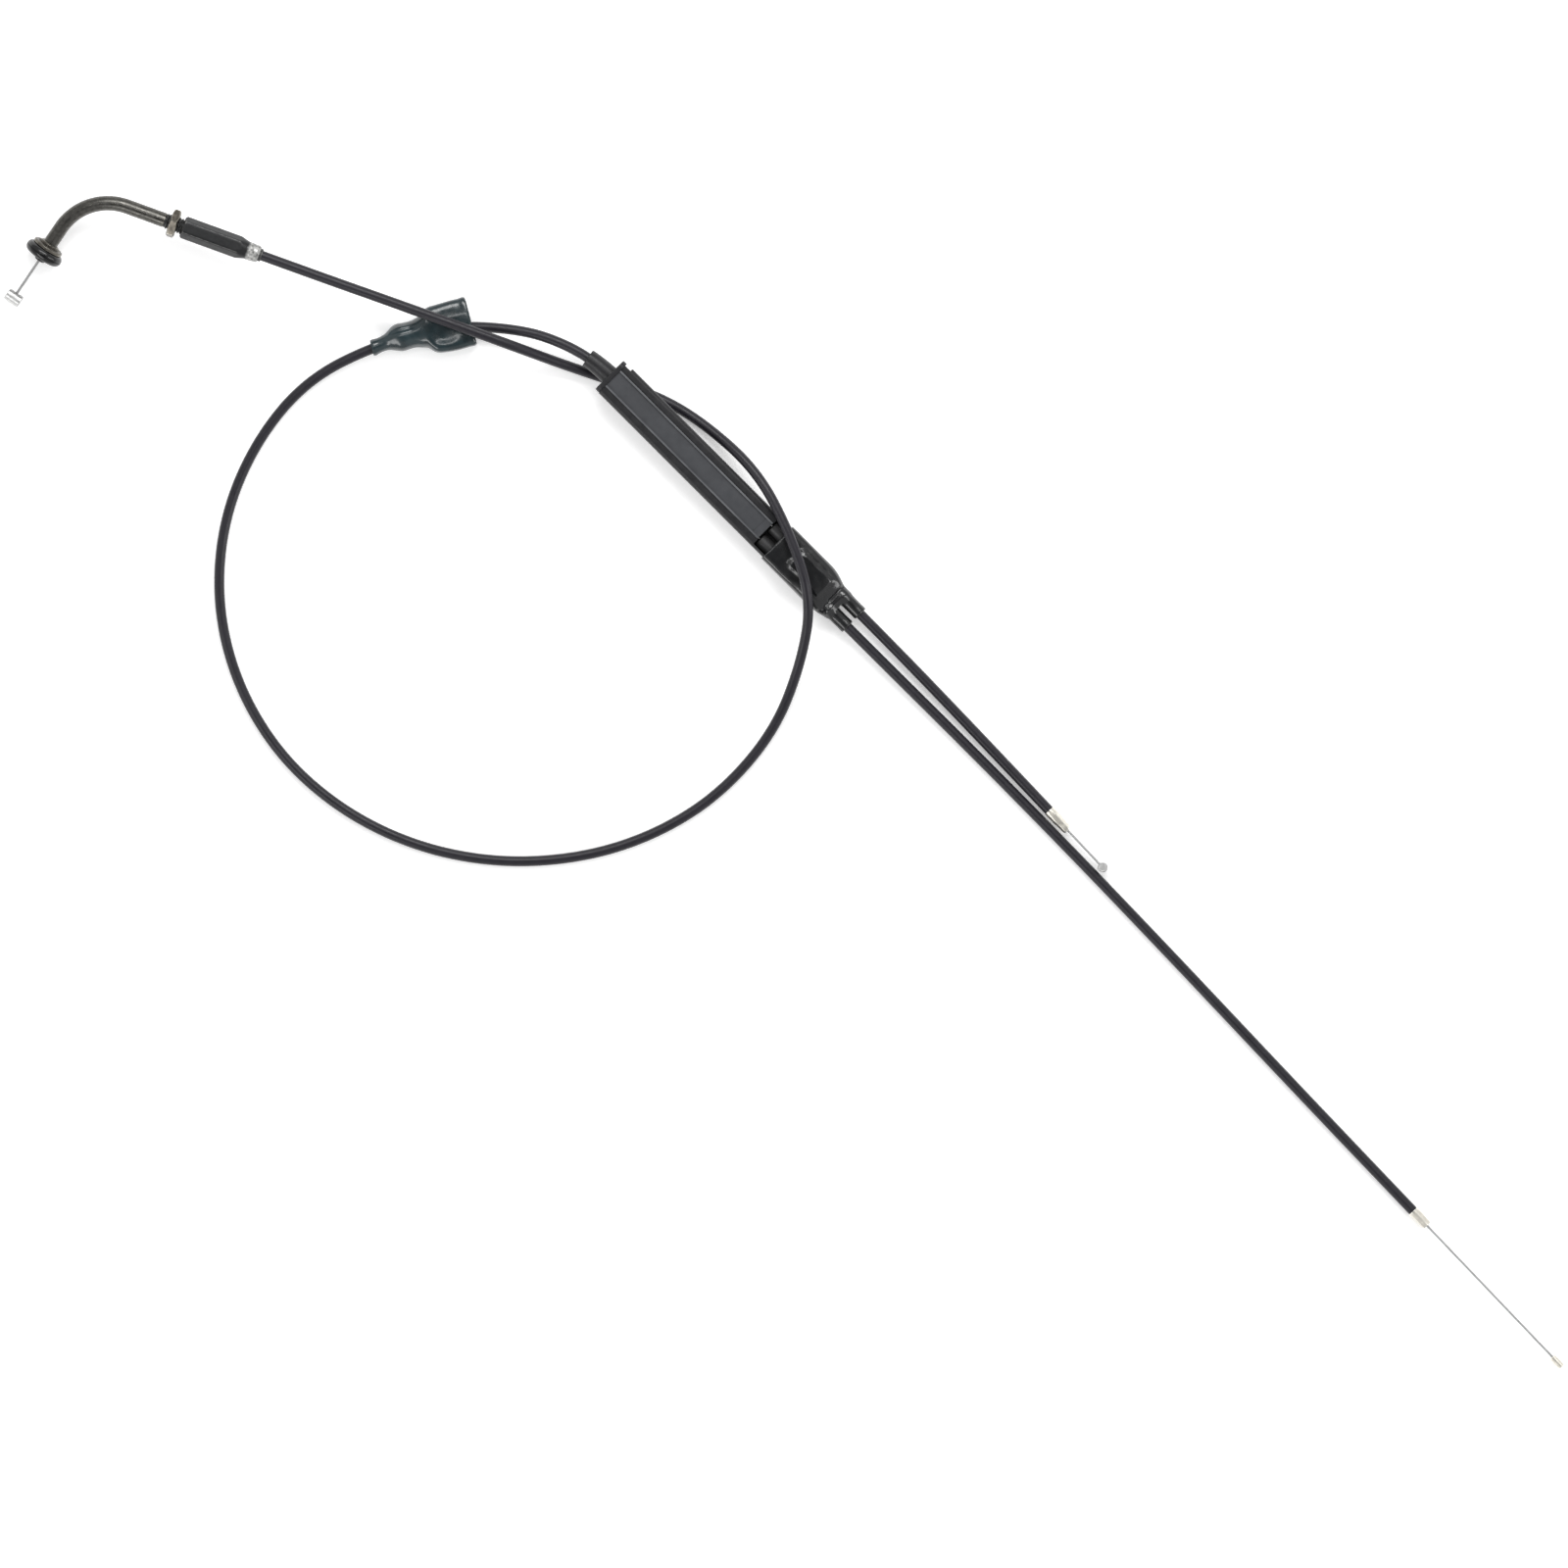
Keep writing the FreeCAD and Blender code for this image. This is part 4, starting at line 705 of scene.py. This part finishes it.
def make_upper_ferrule():
    """Pressed cap on the throttle jacket, seen where it leaves the sleeve's collar."""
    outline = [
        (1.2, 34.0), (3.0, 34.0), (3.3, 34.3), (3.3, 44.6), (3.15, 45.2), (3.3, 45.5), (2.9, 45.9),
        (2.55, 45.9), (2.55, 36.4), (1.2, 36.4),
    ]
    mesh = bevelled(turned(outline), 0.1)
    make_piece("jacket_cap_upper", mesh, ARM, "sleeve_oxide", "cable", "throttle_ferrule_upper",
               wear_and_sheen=0.4)


def make_throttle_nipple():
    """Barrel across the wire, with rounded rims and a countersunk hole where the wire enters."""
    centre = 63.7
    outline = [(2.5, -4.0), (2.9, -3.75), (3.0, -3.4), (3.0, 3.4), (2.9, 3.75), (2.5, 4.0)]
    barrel = moved(turned(outline, bore=False), Matrix.Rotation(math.radians(90.0), 4, "Y"))
    shifted(barrel, along=centre)
    hole = turned([(2.0, 59.5), (1.9, 60.65), (0.8, 61.9), (0.8, 62.95)], bore=False, steps=32)
    mesh = bevelled(cut(barrel, hole), 0.16, angle=30.0)
    make_piece("throttle_barrel", mesh, LEG, "nipple_zinc", "throttle_wire", "throttle_nipple")


def make_throttle_strand():
    """Bare end of the throttle wire."""
    make_piece("throttle_strand", strand(1.5, 28.6, 62.9), LEG, "wire_steel", "throttle_wire",
               "throttle_wire_end")


# ---- splitter box -------------------------------------------------------------------------------

CASE_START, CASE_END = -55.3, 66.0
CASE_SIZE, CASE_ROUND = (20.0, 12.0), 2.2
WINDOW = (50.4, 58.8)
LID_END = 50.0
NECK_START, NECK_END = -71.5, -55.0
NECK_SEGMENTS = 60


def case_outline():
    """Trough with a shoulder over each side of its cavity."""
    arc = rectangle(*CASE_SIZE, CASE_ROUND)
    right_top, left_top, left_low, right_low = (
        arc[CORNER_POINTS * q:CORNER_POINTS * (q + 1)] for q in range(4))
    slot, cave, roof, floor = 5.6, 8.6, 3.8, -4.2
    top = CASE_SIZE[1] / 2
    inside = [
        (-slot, top), (-slot, roof), (-cave, roof), (-cave, floor), (cave, floor), (cave, roof),
        (slot, roof), (slot, top),
    ]
    return left_top + left_low + right_low + right_top + inside[::-1]


def make_case():
    """Moulded trough, with its window and the notch beside the cap."""
    body = prism(case_outline(), CASE_START, CASE_END)
    window = prism(rectangle(17.2, 12.0, up=1.8), *WINDOW)
    notch = prism(rectangle(4.0, 14.0, across=10.6), CASE_START - 1.0, CASE_START + 3.6)
    mesh = bevelled(cut(body, window, notch), 0.22, angle=30.0)
    make_piece("case_trough", mesh, SPLITTER, "case_plastic", "cable", "splitter_case")


def make_lid():
    """Slide-in lid: a foot under the shoulders, a panel with two ribs, and a band across its
    end."""
    foot, panel, rib = 8.4, 5.45, 0.9
    foot_low, foot_top, panel_top, rib_top = 2.6, 3.6, 5.5, 6.4
    right = [(foot, foot_low), (foot, foot_top), (panel, foot_top), (panel, rib_top),
             (panel - rib, rib_top), (panel - rib, panel_top)]
    left = [(-across, up) for across, up in reversed(right)]
    lid = prism(right + left, CASE_START, LID_END)
    band = prism(rectangle(10.86, 2.1, up=5.1), 46.2, LID_END - 0.04)
    lid = combine(lid, band, "UNION")
    hollow = turned([(3.3, CASE_START - 1.0), (3.3, -48.3)], bore=False, steps=48)
    mesh = bevelled(cut(lid, hollow), 0.24, angle=30.0)
    # Its bevelled rib edges take the lid finish's painted highlight.
    make_piece("case_lid", mesh, SPLITTER, "lid_plastic", "cable", "splitter_lid")


def neck_rings(outer, inner):
    """Rings of the neck's tube, square to the throttle cable's own line, from its mouth to the
    flange. Only its last segments count, as an earlier stretch of it runs past the box too."""
    into = SPLITTER.inverted()
    line = [into @ point for point in centreline(throttle_cable)]
    last = list(zip(line, line[1:]))[-NECK_SEGMENTS:]
    stretch = [pair for pair in last if NECK_START < pair[0].z < NECK_END]
    outside_rings, inside_rings = [], []
    for number, (here, ahead) in enumerate(stretch):
        share = number / (len(stretch) - 1)
        place = along_frame(here, ahead - here)
        radius = outer[0] + (outer[1] - outer[0]) * share
        outside_rings.append([place @ point for point in circle(radius, 0.0, 64)])
        inside_rings.append([place @ point for point in circle(inner, 0.0, 64)])
    return outside_rings + inside_rings[::-1]


def make_cap():
    """Flange plate on the box's end, and the bent neck that the cable enters by."""
    cable_hole = 2.7
    flange = prism(rectangle(19.6, 13.0, 3.4), CASE_START - 2.45, CASE_START - 0.05)
    plug = prism(rectangle(16.8, 6.3, 0.4, up=-0.85), CASE_START - 0.5, -47.0)
    seat = turned([(3.2, -57.0), (3.2, -48.5)], bore=False, steps=48)
    wire_hole = turned([(1.2, -49.0), (1.2, -46.0)], bore=False, steps=32)
    plate = cut(bevelled(combine(flange, plug, "UNION"), 0.8, segments=4), seat, wire_hole)
    entry = turned([(cable_hole, -60.0), (cable_hole, -56.5)], bore=False, steps=48)
    make_piece("cap_plate", cut(plate, entry), SPLITTER, "case_plastic", "cable",
               "splitter_top_cap")
    neck = bevelled(loft(neck_rings((4.55, 4.9), cable_hole), loop=True), 0.35)
    make_piece("cap_neck", neck, SPLITTER, "case_plastic", "cable")


LOWER_BOOT_ROWS = (
    # along, half width on the pump's side, on the carburettor's side, top, underside, squareness
    (58.0, 11.0, 11.0, 7.5, 7.4, 7.0), (64.0, 11.0, 11.0, 7.5, 7.4, 6.5),
    (72.0, 11.0, 11.0, 7.45, 7.4, 6.0), (80.0, 11.0, 11.0, 7.2, 7.35, 5.0),
    (84.0, 11.05, 11.0, 6.95, 7.3, 4.6), (88.0, 10.8, 11.0, 6.6, 7.2, 4.2),
    (92.0, 9.9, 10.85, 5.9, 6.9, 3.8), (96.0, 8.5, 10.4, 4.7, 6.0, 3.4),
    (99.0, 7.6, 9.7, 3.9, 5.0, 3.0), (102.0, 7.0, 9.0, 3.4, 4.2, 3.0),
)


PINCH, SWELL = (96.3, 0.75), (99.6, 1.3)  # place along, spread
PINCH_DEEP, SWELL_HIGH, RIPPLE_HIGH, DOME_HIGH = 0.9, 0.5, 0.30, 0.95
PINCH_FROM, PINCH_TO, PINCH_BESIDE = -2.4, 8.5, 0.3
DOME_ACROSS, DOME_ALONG = (0.8, 6.4, 2.4), (80.5, 12.5, 3.0)  # middle, half size, flank
SKIN_VOXEL = 0.42


def lower_boot_shape():
    """Solid outside of the lower boot, before its details are pressed in."""
    rings = []
    for along, plus, minus, top, low, power in smooth_rows(LOWER_BOOT_ROWS, 1.0):
        across = (plus - minus) / 2
        up = (top - low) / 2
        rings.append(squarish((plus + minus) / 2, (top + low) / 2, power, across, up, along))
    shape = loft(rings)
    for across, root in ((CARB_ACROSS, 4.5), (PUMP_ACROSS, 4.15)):
        spout = turned([
            (3.0, 92.0), (root, 96.0), (root, 99.5), (4.2, 101.0), (3.75, 103.0), (3.65, 108.0),
            (3.75, 111.0), (3.75, 112.0),
        ], bore=False, steps=64)
        shape = combine(shape, shifted(spout, across), "UNION")
    return shape


def hump(value, middle, spread):
    """Bell curve of height 1."""
    return math.exp(-((value - middle) / spread) ** 2)


def press_lower_boot(point):
    """Where a point of the boot's smoothed skin ends up: a pinch across the cables with a swelling
    after it, and on top a low dome with an uneven flank, and ripples."""
    x, y, z = point
    ripple = noise.noise(Vector((x / 5.5, y / 5.5, z / 7.0))) * RIPPLE_HIGH
    if y > 0.0:
        pinch = hump(z, *PINCH) * (1.0 if PINCH_FROM < x < PINCH_TO else PINCH_BESIDE)
        swell = hump(z, *SWELL) * SWELL_HIGH
        y += swell * (y > 1.5) - pinch * PINCH_DEEP * min(1.0, y / 3.0)
    if y > 2.0:
        uneven = noise.noise(Vector((x / 3.0, 0.0, z / 3.5)))
        (middle, wide, side), (centre, long, end) = DOME_ACROSS, DOME_ALONG
        across = (wide + 0.9 * uneven - abs(x - middle)) / side
        along = (long + 1.0 * uneven - abs(z - centre)) / end
        dome = clamped(across) * clamped(along)
        y += ripple + DOME_HIGH * dome * dome * (3.0 - 2.0 * dome)
    return Vector((x, y, z))


def make_lower_boot():
    """Glossy rubber boot over the box's end, with a spout round each cable."""
    obj = stand_in(lower_boot_shape())
    remesh = obj.modifiers.new("skin", "REMESH")
    remesh.mode = "VOXEL"
    remesh.voxel_size = SKIN_VOXEL
    smooth = obj.modifiers.new("soft", "SMOOTH")
    smooth.factor = 0.6
    smooth.iterations = 5
    mesh = worked(obj)
    for vertex in mesh.verts:
        vertex.co = press_lower_boot(vertex.co)
    pocket = prism(rectangle(20.1, 12.1, CASE_ROUND), 57.0, 70.2)
    bores = []
    for across in (CARB_ACROSS, PUMP_ACROSS):
        bore = turned([(2.7, 69.0), (2.7, 113.0)], bore=False, steps=48)
        bores.append(shifted(bore, across))
    mesh = cut(mesh, pocket, *bores)
    make_piece("lower_boot_skin", mesh, SPLITTER, "boot_rubber", "cable", "lower_boot",
               look="boot_black")


# ---- loose boot ---------------------------------------------------------------------------------

UPPER_BOOT_ROWS = (
    # along, half width, centre across, half height, centre up, squareness
    (0.0, 3.95, -0.55, 3.9, -0.35, 2.0), (1.2, 4.15, -0.45, 4.1, -0.3, 2.0),
    (2.4, 3.9, -0.3, 3.9, -0.3, 2.0), (5.0, 3.75, 0.1, 3.75, -0.2, 2.0),
    (8.0, 4.25, 0.6, 4.2, -0.1, 2.0), (10.8, 5.65, 0.9, 5.3, 0.0, 2.0),
    (14.0, 6.85, 0.85, 6.3, 0.1, 2.1), (18.0, 6.75, 0.95, 6.4, 0.1, 2.2),
    (20.5, 6.7, 1.1, 6.1, 0.1, 2.2), (24.0, 7.45, 1.05, 6.4, 0.0, 2.4),
    (27.0, 8.65, 0.95, 6.8, 0.0, 3.0), (29.0, 10.3, 0.6, 7.1, 0.0, 4.0),
    (31.2, 11.4, 0.4, 7.3, 0.0, 5.5), (35.0, 11.95, 0.15, 7.3, 0.0, 6.5),
    (39.0, 12.2, 0.0, 7.3, 0.0, 7.0), (44.0, 12.3, 0.0, 7.3, 0.0, 7.0),
    (47.2, 12.2, 0.0, 7.3, 0.0, 7.0), (48.6, 12.35, 0.0, 7.45, 0.0, 7.0),
    (49.7, 12.2, 0.0, 7.35, 0.0, 7.0), (50.2, 11.75, 0.0, 7.0, 0.0, 7.0),
)
UPPER_BORE_ROWS = (
    # along, half width, centre across, half height, centre up, squareness
    (0.0, 3.2, -0.6, 3.2, -0.35, 2.0), (4.0, 3.1, -0.15, 3.1, -0.25, 2.0),
    (8.0, 3.3, 0.3, 3.3, -0.1, 2.0), (12.0, 4.6, 0.7, 4.6, 0.0, 2.0),
    (20.0, 5.2, 0.9, 5.0, 0.1, 2.0), (28.0, 6.6, 0.8, 5.7, 0.1, 2.6),
    (33.0, 10.2, 0.3, 6.0, 0.0, 5.0), (40.0, 11.0, 0.0, 6.1, 0.0, 7.0),
    (50.0, 11.1, 0.0, 6.2, 0.0, 7.0),
)


MOUTH_START, MOUTH_FADE, MOUTH_DROP = 29.0, 5.0, 0.28
HOLLOW_ACROSS, HOLLOW_ALONG, HOLLOW_DEEP = (-3.0, 5.0), (37.0, 7.0), 0.65  # middle, half size
BARREL_MIDDLE, BARREL_HALF = 17.0, 6.0
PANEL_EDGE, PANEL_SLOPE = 4.0, 0.15
CREASE_WIDE, CREASE_DEEP = 0.8, 0.60
FOLDS_START, FOLDS_FADE, FOLDS_DEEP = 6.0, 6.0, 0.55
CALM_FROM, CALM_FADE, CALM_FOLDS = 36.0, 9.0, 0.35


def rippled(point, deep):
    """A point of soft rubber, moved in or out a little by slow noise. On top it only moves in, to
    leave room for the cable that crosses it: the mouth is lowered, with a hollow in it and a panel
    that slopes to one side, and the barrel has a crease."""
    x, y, z = point
    out = Vector((x, y, 0.0)).normalized()
    folds = noise.noise(Vector((x / 6.0, y / 6.0, z / 9.0 + 3.0)))
    drop = 0.0
    if y > 2.0:
        folds = min(folds, 0.0)
        mouth = clamped((z - MOUTH_START) / MOUTH_FADE)
        barrel = math.exp(-((z - BARREL_MIDDLE) / BARREL_HALF) ** 4)
        (middle, wide), (centre, long) = HOLLOW_ACROSS, HOLLOW_ALONG
        hollow = math.exp(-(((x - middle) / wide) ** 2 + ((z - centre) / long) ** 2) ** 2)
        drop += MOUTH_DROP * mouth + HOLLOW_DEEP * hollow
        drop += mouth * PANEL_SLOPE * max(0.0, x - PANEL_EDGE)
        drop += barrel * CREASE_DEEP * hump(x, PANEL_EDGE, CREASE_WIDE)
    return point + out * deep * folds - Vector((0.0, drop, 0.0))


def make_upper_boot():
    """Loose glossy boot: a lip and neck round the cable, a waisted barrel and a box-shaped
    mouth."""
    outside = []
    for along, wide, across, high, up, power in smooth_rows(UPPER_BOOT_ROWS, 0.7):
        deep = FOLDS_DEEP * clamped((along - FOLDS_START) / FOLDS_FADE)
        deep *= min(1.0, max(CALM_FOLDS, (CALM_FROM - along) / CALM_FADE))
        ring = squarish(wide, high, power, across, up, along, steps=96)
        outside.append([rippled(point, deep) for point in ring])
    inside = [
        squarish(wide, high, power, across, up, along, steps=96)
        for along, wide, across, high, up, power in smooth_rows(UPPER_BORE_ROWS, 2.0)
    ]
    mesh = loft(outside + inside[::-1], loop=True)
    make_piece("upper_boot_skin", mesh, LOOSE, "boot_rubber", "upper_boot", "upper_boot")


# ---- lower ends ---------------------------------------------------------------------------------

CRIMP_FACETS = 6
FACET_REACH = 1.05
BORE_BELOW = 2.1


def crimped(outline, turn, start, full):
    """Turned ferrule whose outside is pressed to flats, from a start to full depth along it.
    Radii below the bore's limit stay round."""
    def ring(radius, along):
        press = clamped((along - start) / (full - start))

        def reach(angle):
            side = (angle - turn) % (math.tau / CRIMP_FACETS) - math.pi / CRIMP_FACETS
            flat = radius * FACET_REACH * math.cos(math.pi / CRIMP_FACETS) / math.cos(side)
            return radius - press * (radius - min(flat, radius))

        return circle(reach if radius > BORE_BELOW else radius, along, steps=96)

    return loft([ring(radius, along) for radius, along in outline], loop=True)


def make_carb_end():
    """Crimped ferrule, bare wire and small nipple of the long cable."""
    outline = [
        (2.53, -3.0), (2.68, -3.0), (2.75, -2.9), (2.75, -1.9), (2.75, -1.3), (2.74, -0.4),
        (2.72, 1.0), (2.68, 2.4), (2.62, 3.6), (2.56, 4.8), (2.5, 6.0), (2.4, 6.6), (2.2, 6.9),
        (1.8, 7.0), (0.95, 7.0), (0.8, 6.5), (0.8, 5.4), (2.0, 5.4), (2.0, 0.1), (2.53, 0.1),
    ]
    mesh = crimped(outline, 0.35, -2.0, 0.5)
    ferrule = make_piece("carb_crimp", mesh, CARB_END, "ferrule_nickel", "cable",
                         "carb_ferrule_lower")
    wire = make_piece("carb_strand", strand(1.2, -12.0, 96.6), CARB_END, "wire_steel",
                      "carb_wire", "carb_wire_end")
    return ferrule, wire, NODES["carb_nipple"]


def make_pump_end():
    """Stepped ferrule, bare wire and upright round nipple of the short cable."""
    outline = [
        (2.53, -3.0), (2.68, -3.0), (2.75, -2.9), (2.75, -1.6), (2.75, -0.9), (2.74, 1.0),
        (2.72, 3.0), (2.66, 3.8), (2.52, 4.6), (2.42, 5.6), (2.38, 7.2), (2.35, 8.6), (2.3, 9.6),
        (2.16, 10.1), (1.8, 10.4), (1.05, 10.4), (0.8, 10.0), (0.8, 8.4), (2.0, 8.4), (2.0, 0.1),
        (2.53, 0.1),
    ]
    mesh = crimped(outline, 0.1, -1.2, 1.5)
    ferrule = make_piece("pump_crimp", mesh, PUMP_END, "ferrule_nickel", "cable",
                         "pump_ferrule_lower")
    wire = make_piece("pump_strand", strand(1.2, -12.0, 34.3), PUMP_END, "wire_steel",
                      "pump_wire", "pump_wire_end")
    centre = 35.2
    outline = [
        (1.5, -2.35), (1.9, -2.6), (2.15, -2.6), (2.5, -2.2), (2.5, 2.2), (2.15, 2.6), (1.9, 2.6),
        (1.5, 2.35),
    ]
    barrel = moved(turned(outline, bore=False), Matrix.Rotation(math.radians(-90.0), 4, "X"))
    shifted(barrel, along=centre)
    hole = turned([(0.65, 31.0), (0.65, 34.4)], bore=False, steps=32)
    mesh = bevelled(cut(barrel, hole), 0.1, angle=30.0)
    nipple = make_piece("pump_barrel", mesh, PUMP_END, "nipple_zinc", "pump_wire", "pump_nipple")
    return ferrule, wire, nipple


make_elbow()
make_flange()
make_grommet()
make_bush()
make_nut()
make_sleeve()
make_upper_ferrule()
make_throttle_nipple()
make_throttle_strand()
make_case()
make_lid()
make_cap()
make_lower_boot()
make_upper_boot()
carb_end = make_carb_end()
pump_end = make_pump_end()


# ---- the cords take their finish and ride on the cable ------------------------------------------

def declare_cord(cord, length, far_end, with_pieces, *nodes):
    """Gives a cord its finish, lets it ride on the cable's body and hides the nodes that it stands
    for.
    """
    cord.data.materials.append(FINISHES["jacket_black"])
    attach(cord, "cable")
    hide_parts(*nodes)


declare_cord(throttle_cable, 1.06, "object", [bpy.data.objects["upper_boot_skin"]],
             "throttle_sheath", "throttle_conduit", "throttle_wire_run")
declare_cord(carb_cable, 0.45, "fitting", carb_end, "carb_sheath", "carb_conduit", "carb_wire_run")
declare_cord(pump_cable, 0.19, "fitting", pump_end, "pump_sheath", "pump_conduit", "pump_wire_run")


# ---- floor and light ----------------------------------------------------------------------------

FLOOR_HALF, FLOOR_DROP = 6.0, 0.0001


def make_floor():
    """Plain white floor just under the part."""
    mesh = bmesh.new()
    bmesh.ops.create_grid(mesh, x_segments=1, y_segments=1, size=FLOOR_HALF)
    floor = stand_in(mesh, "floor")
    floor.location = (*VIEW_CENTRE, -FLOOR_DROP)
    material = bpy.data.materials.new("floor_white")
    material.use_nodes = True
    shader = material.node_tree.nodes["Principled BSDF"]
    shader.inputs["Base Color"].default_value = (0.93, 0.93, 0.93, 1.0)
    shader.inputs["Roughness"].default_value = 0.9
    shader.inputs["Specular IOR Level"].default_value = 0.1
    shader.inputs["Emission Color"].default_value = (1.0, 1.0, 1.0, 1.0)
    shader.inputs["Emission Strength"].default_value = 0.33
    floor.data.materials.append(material)


def make_light(name, place, size, watts):
    """Soft box that faces the middle of the part."""
    data = bpy.data.lights.new(name, "AREA")
    data.shape = "RECTANGLE"
    data.size, data.size_y = size
    data.energy = watts
    light = bpy.data.objects.new(name, data)
    light.location = Vector((*VIEW_CENTRE, 0.0)) + Vector(place)
    towards = Vector((*VIEW_CENTRE, 0.0)) - light.location
    light.rotation_euler = towards.to_track_quat("-Z", "Y").to_euler()
    light.visible_camera = False
    SCENE.collection.objects.link(light)


CEILING_HEIGHTS = (0.80, 0.97)
CEILING_STRENGTHS = (0.60, 0.12)
LIGHTS = (
    # name, place from the middle of the view, size, watts
    ("key_box", (-0.75, 0.85, 1.3), (1.3, 0.45), 13.5),
    ("side_box", (0.95, 0.75, 1.0), (0.4, 1.3), 6.3),
    ("low_box", (-0.3, -1.2, 1.0), (1.2, 0.4), 6.3),
    ("strip", (-0.45, 0.30, 1.5), (1.4, 0.12), 2.8),
)


def make_lighting():
    """White walls round a darker ceiling, three soft boxes and a narrow strip near the zenith.
    The backdrop's strength falls as a direction rises between the ceiling's two heights."""
    world = bpy.data.worlds.new("studio")
    world.use_nodes = True
    tree = world.node_tree
    backdrop = tree.nodes["Background"]
    backdrop.inputs["Color"].default_value = (1.0, 1.0, 1.0, 1.0)
    split = tree.nodes.new("ShaderNodeSeparateXYZ")
    direction = tree.nodes.new("ShaderNodeTexCoord").outputs["Generated"]
    tree.links.new(direction, split.inputs["Vector"])
    ceiling = tree.nodes.new("ShaderNodeMapRange")
    set_range(ceiling, *CEILING_HEIGHTS, *CEILING_STRENGTHS)
    tree.links.new(split.outputs["Z"], ceiling.inputs["Value"])
    tree.links.new(ceiling.outputs["Result"], backdrop.inputs["Strength"])
    SCENE.world = world
    for light in LIGHTS:
        make_light(*light)
    SCENE.view_settings.view_transform = "Standard"


make_floor()
make_lighting()
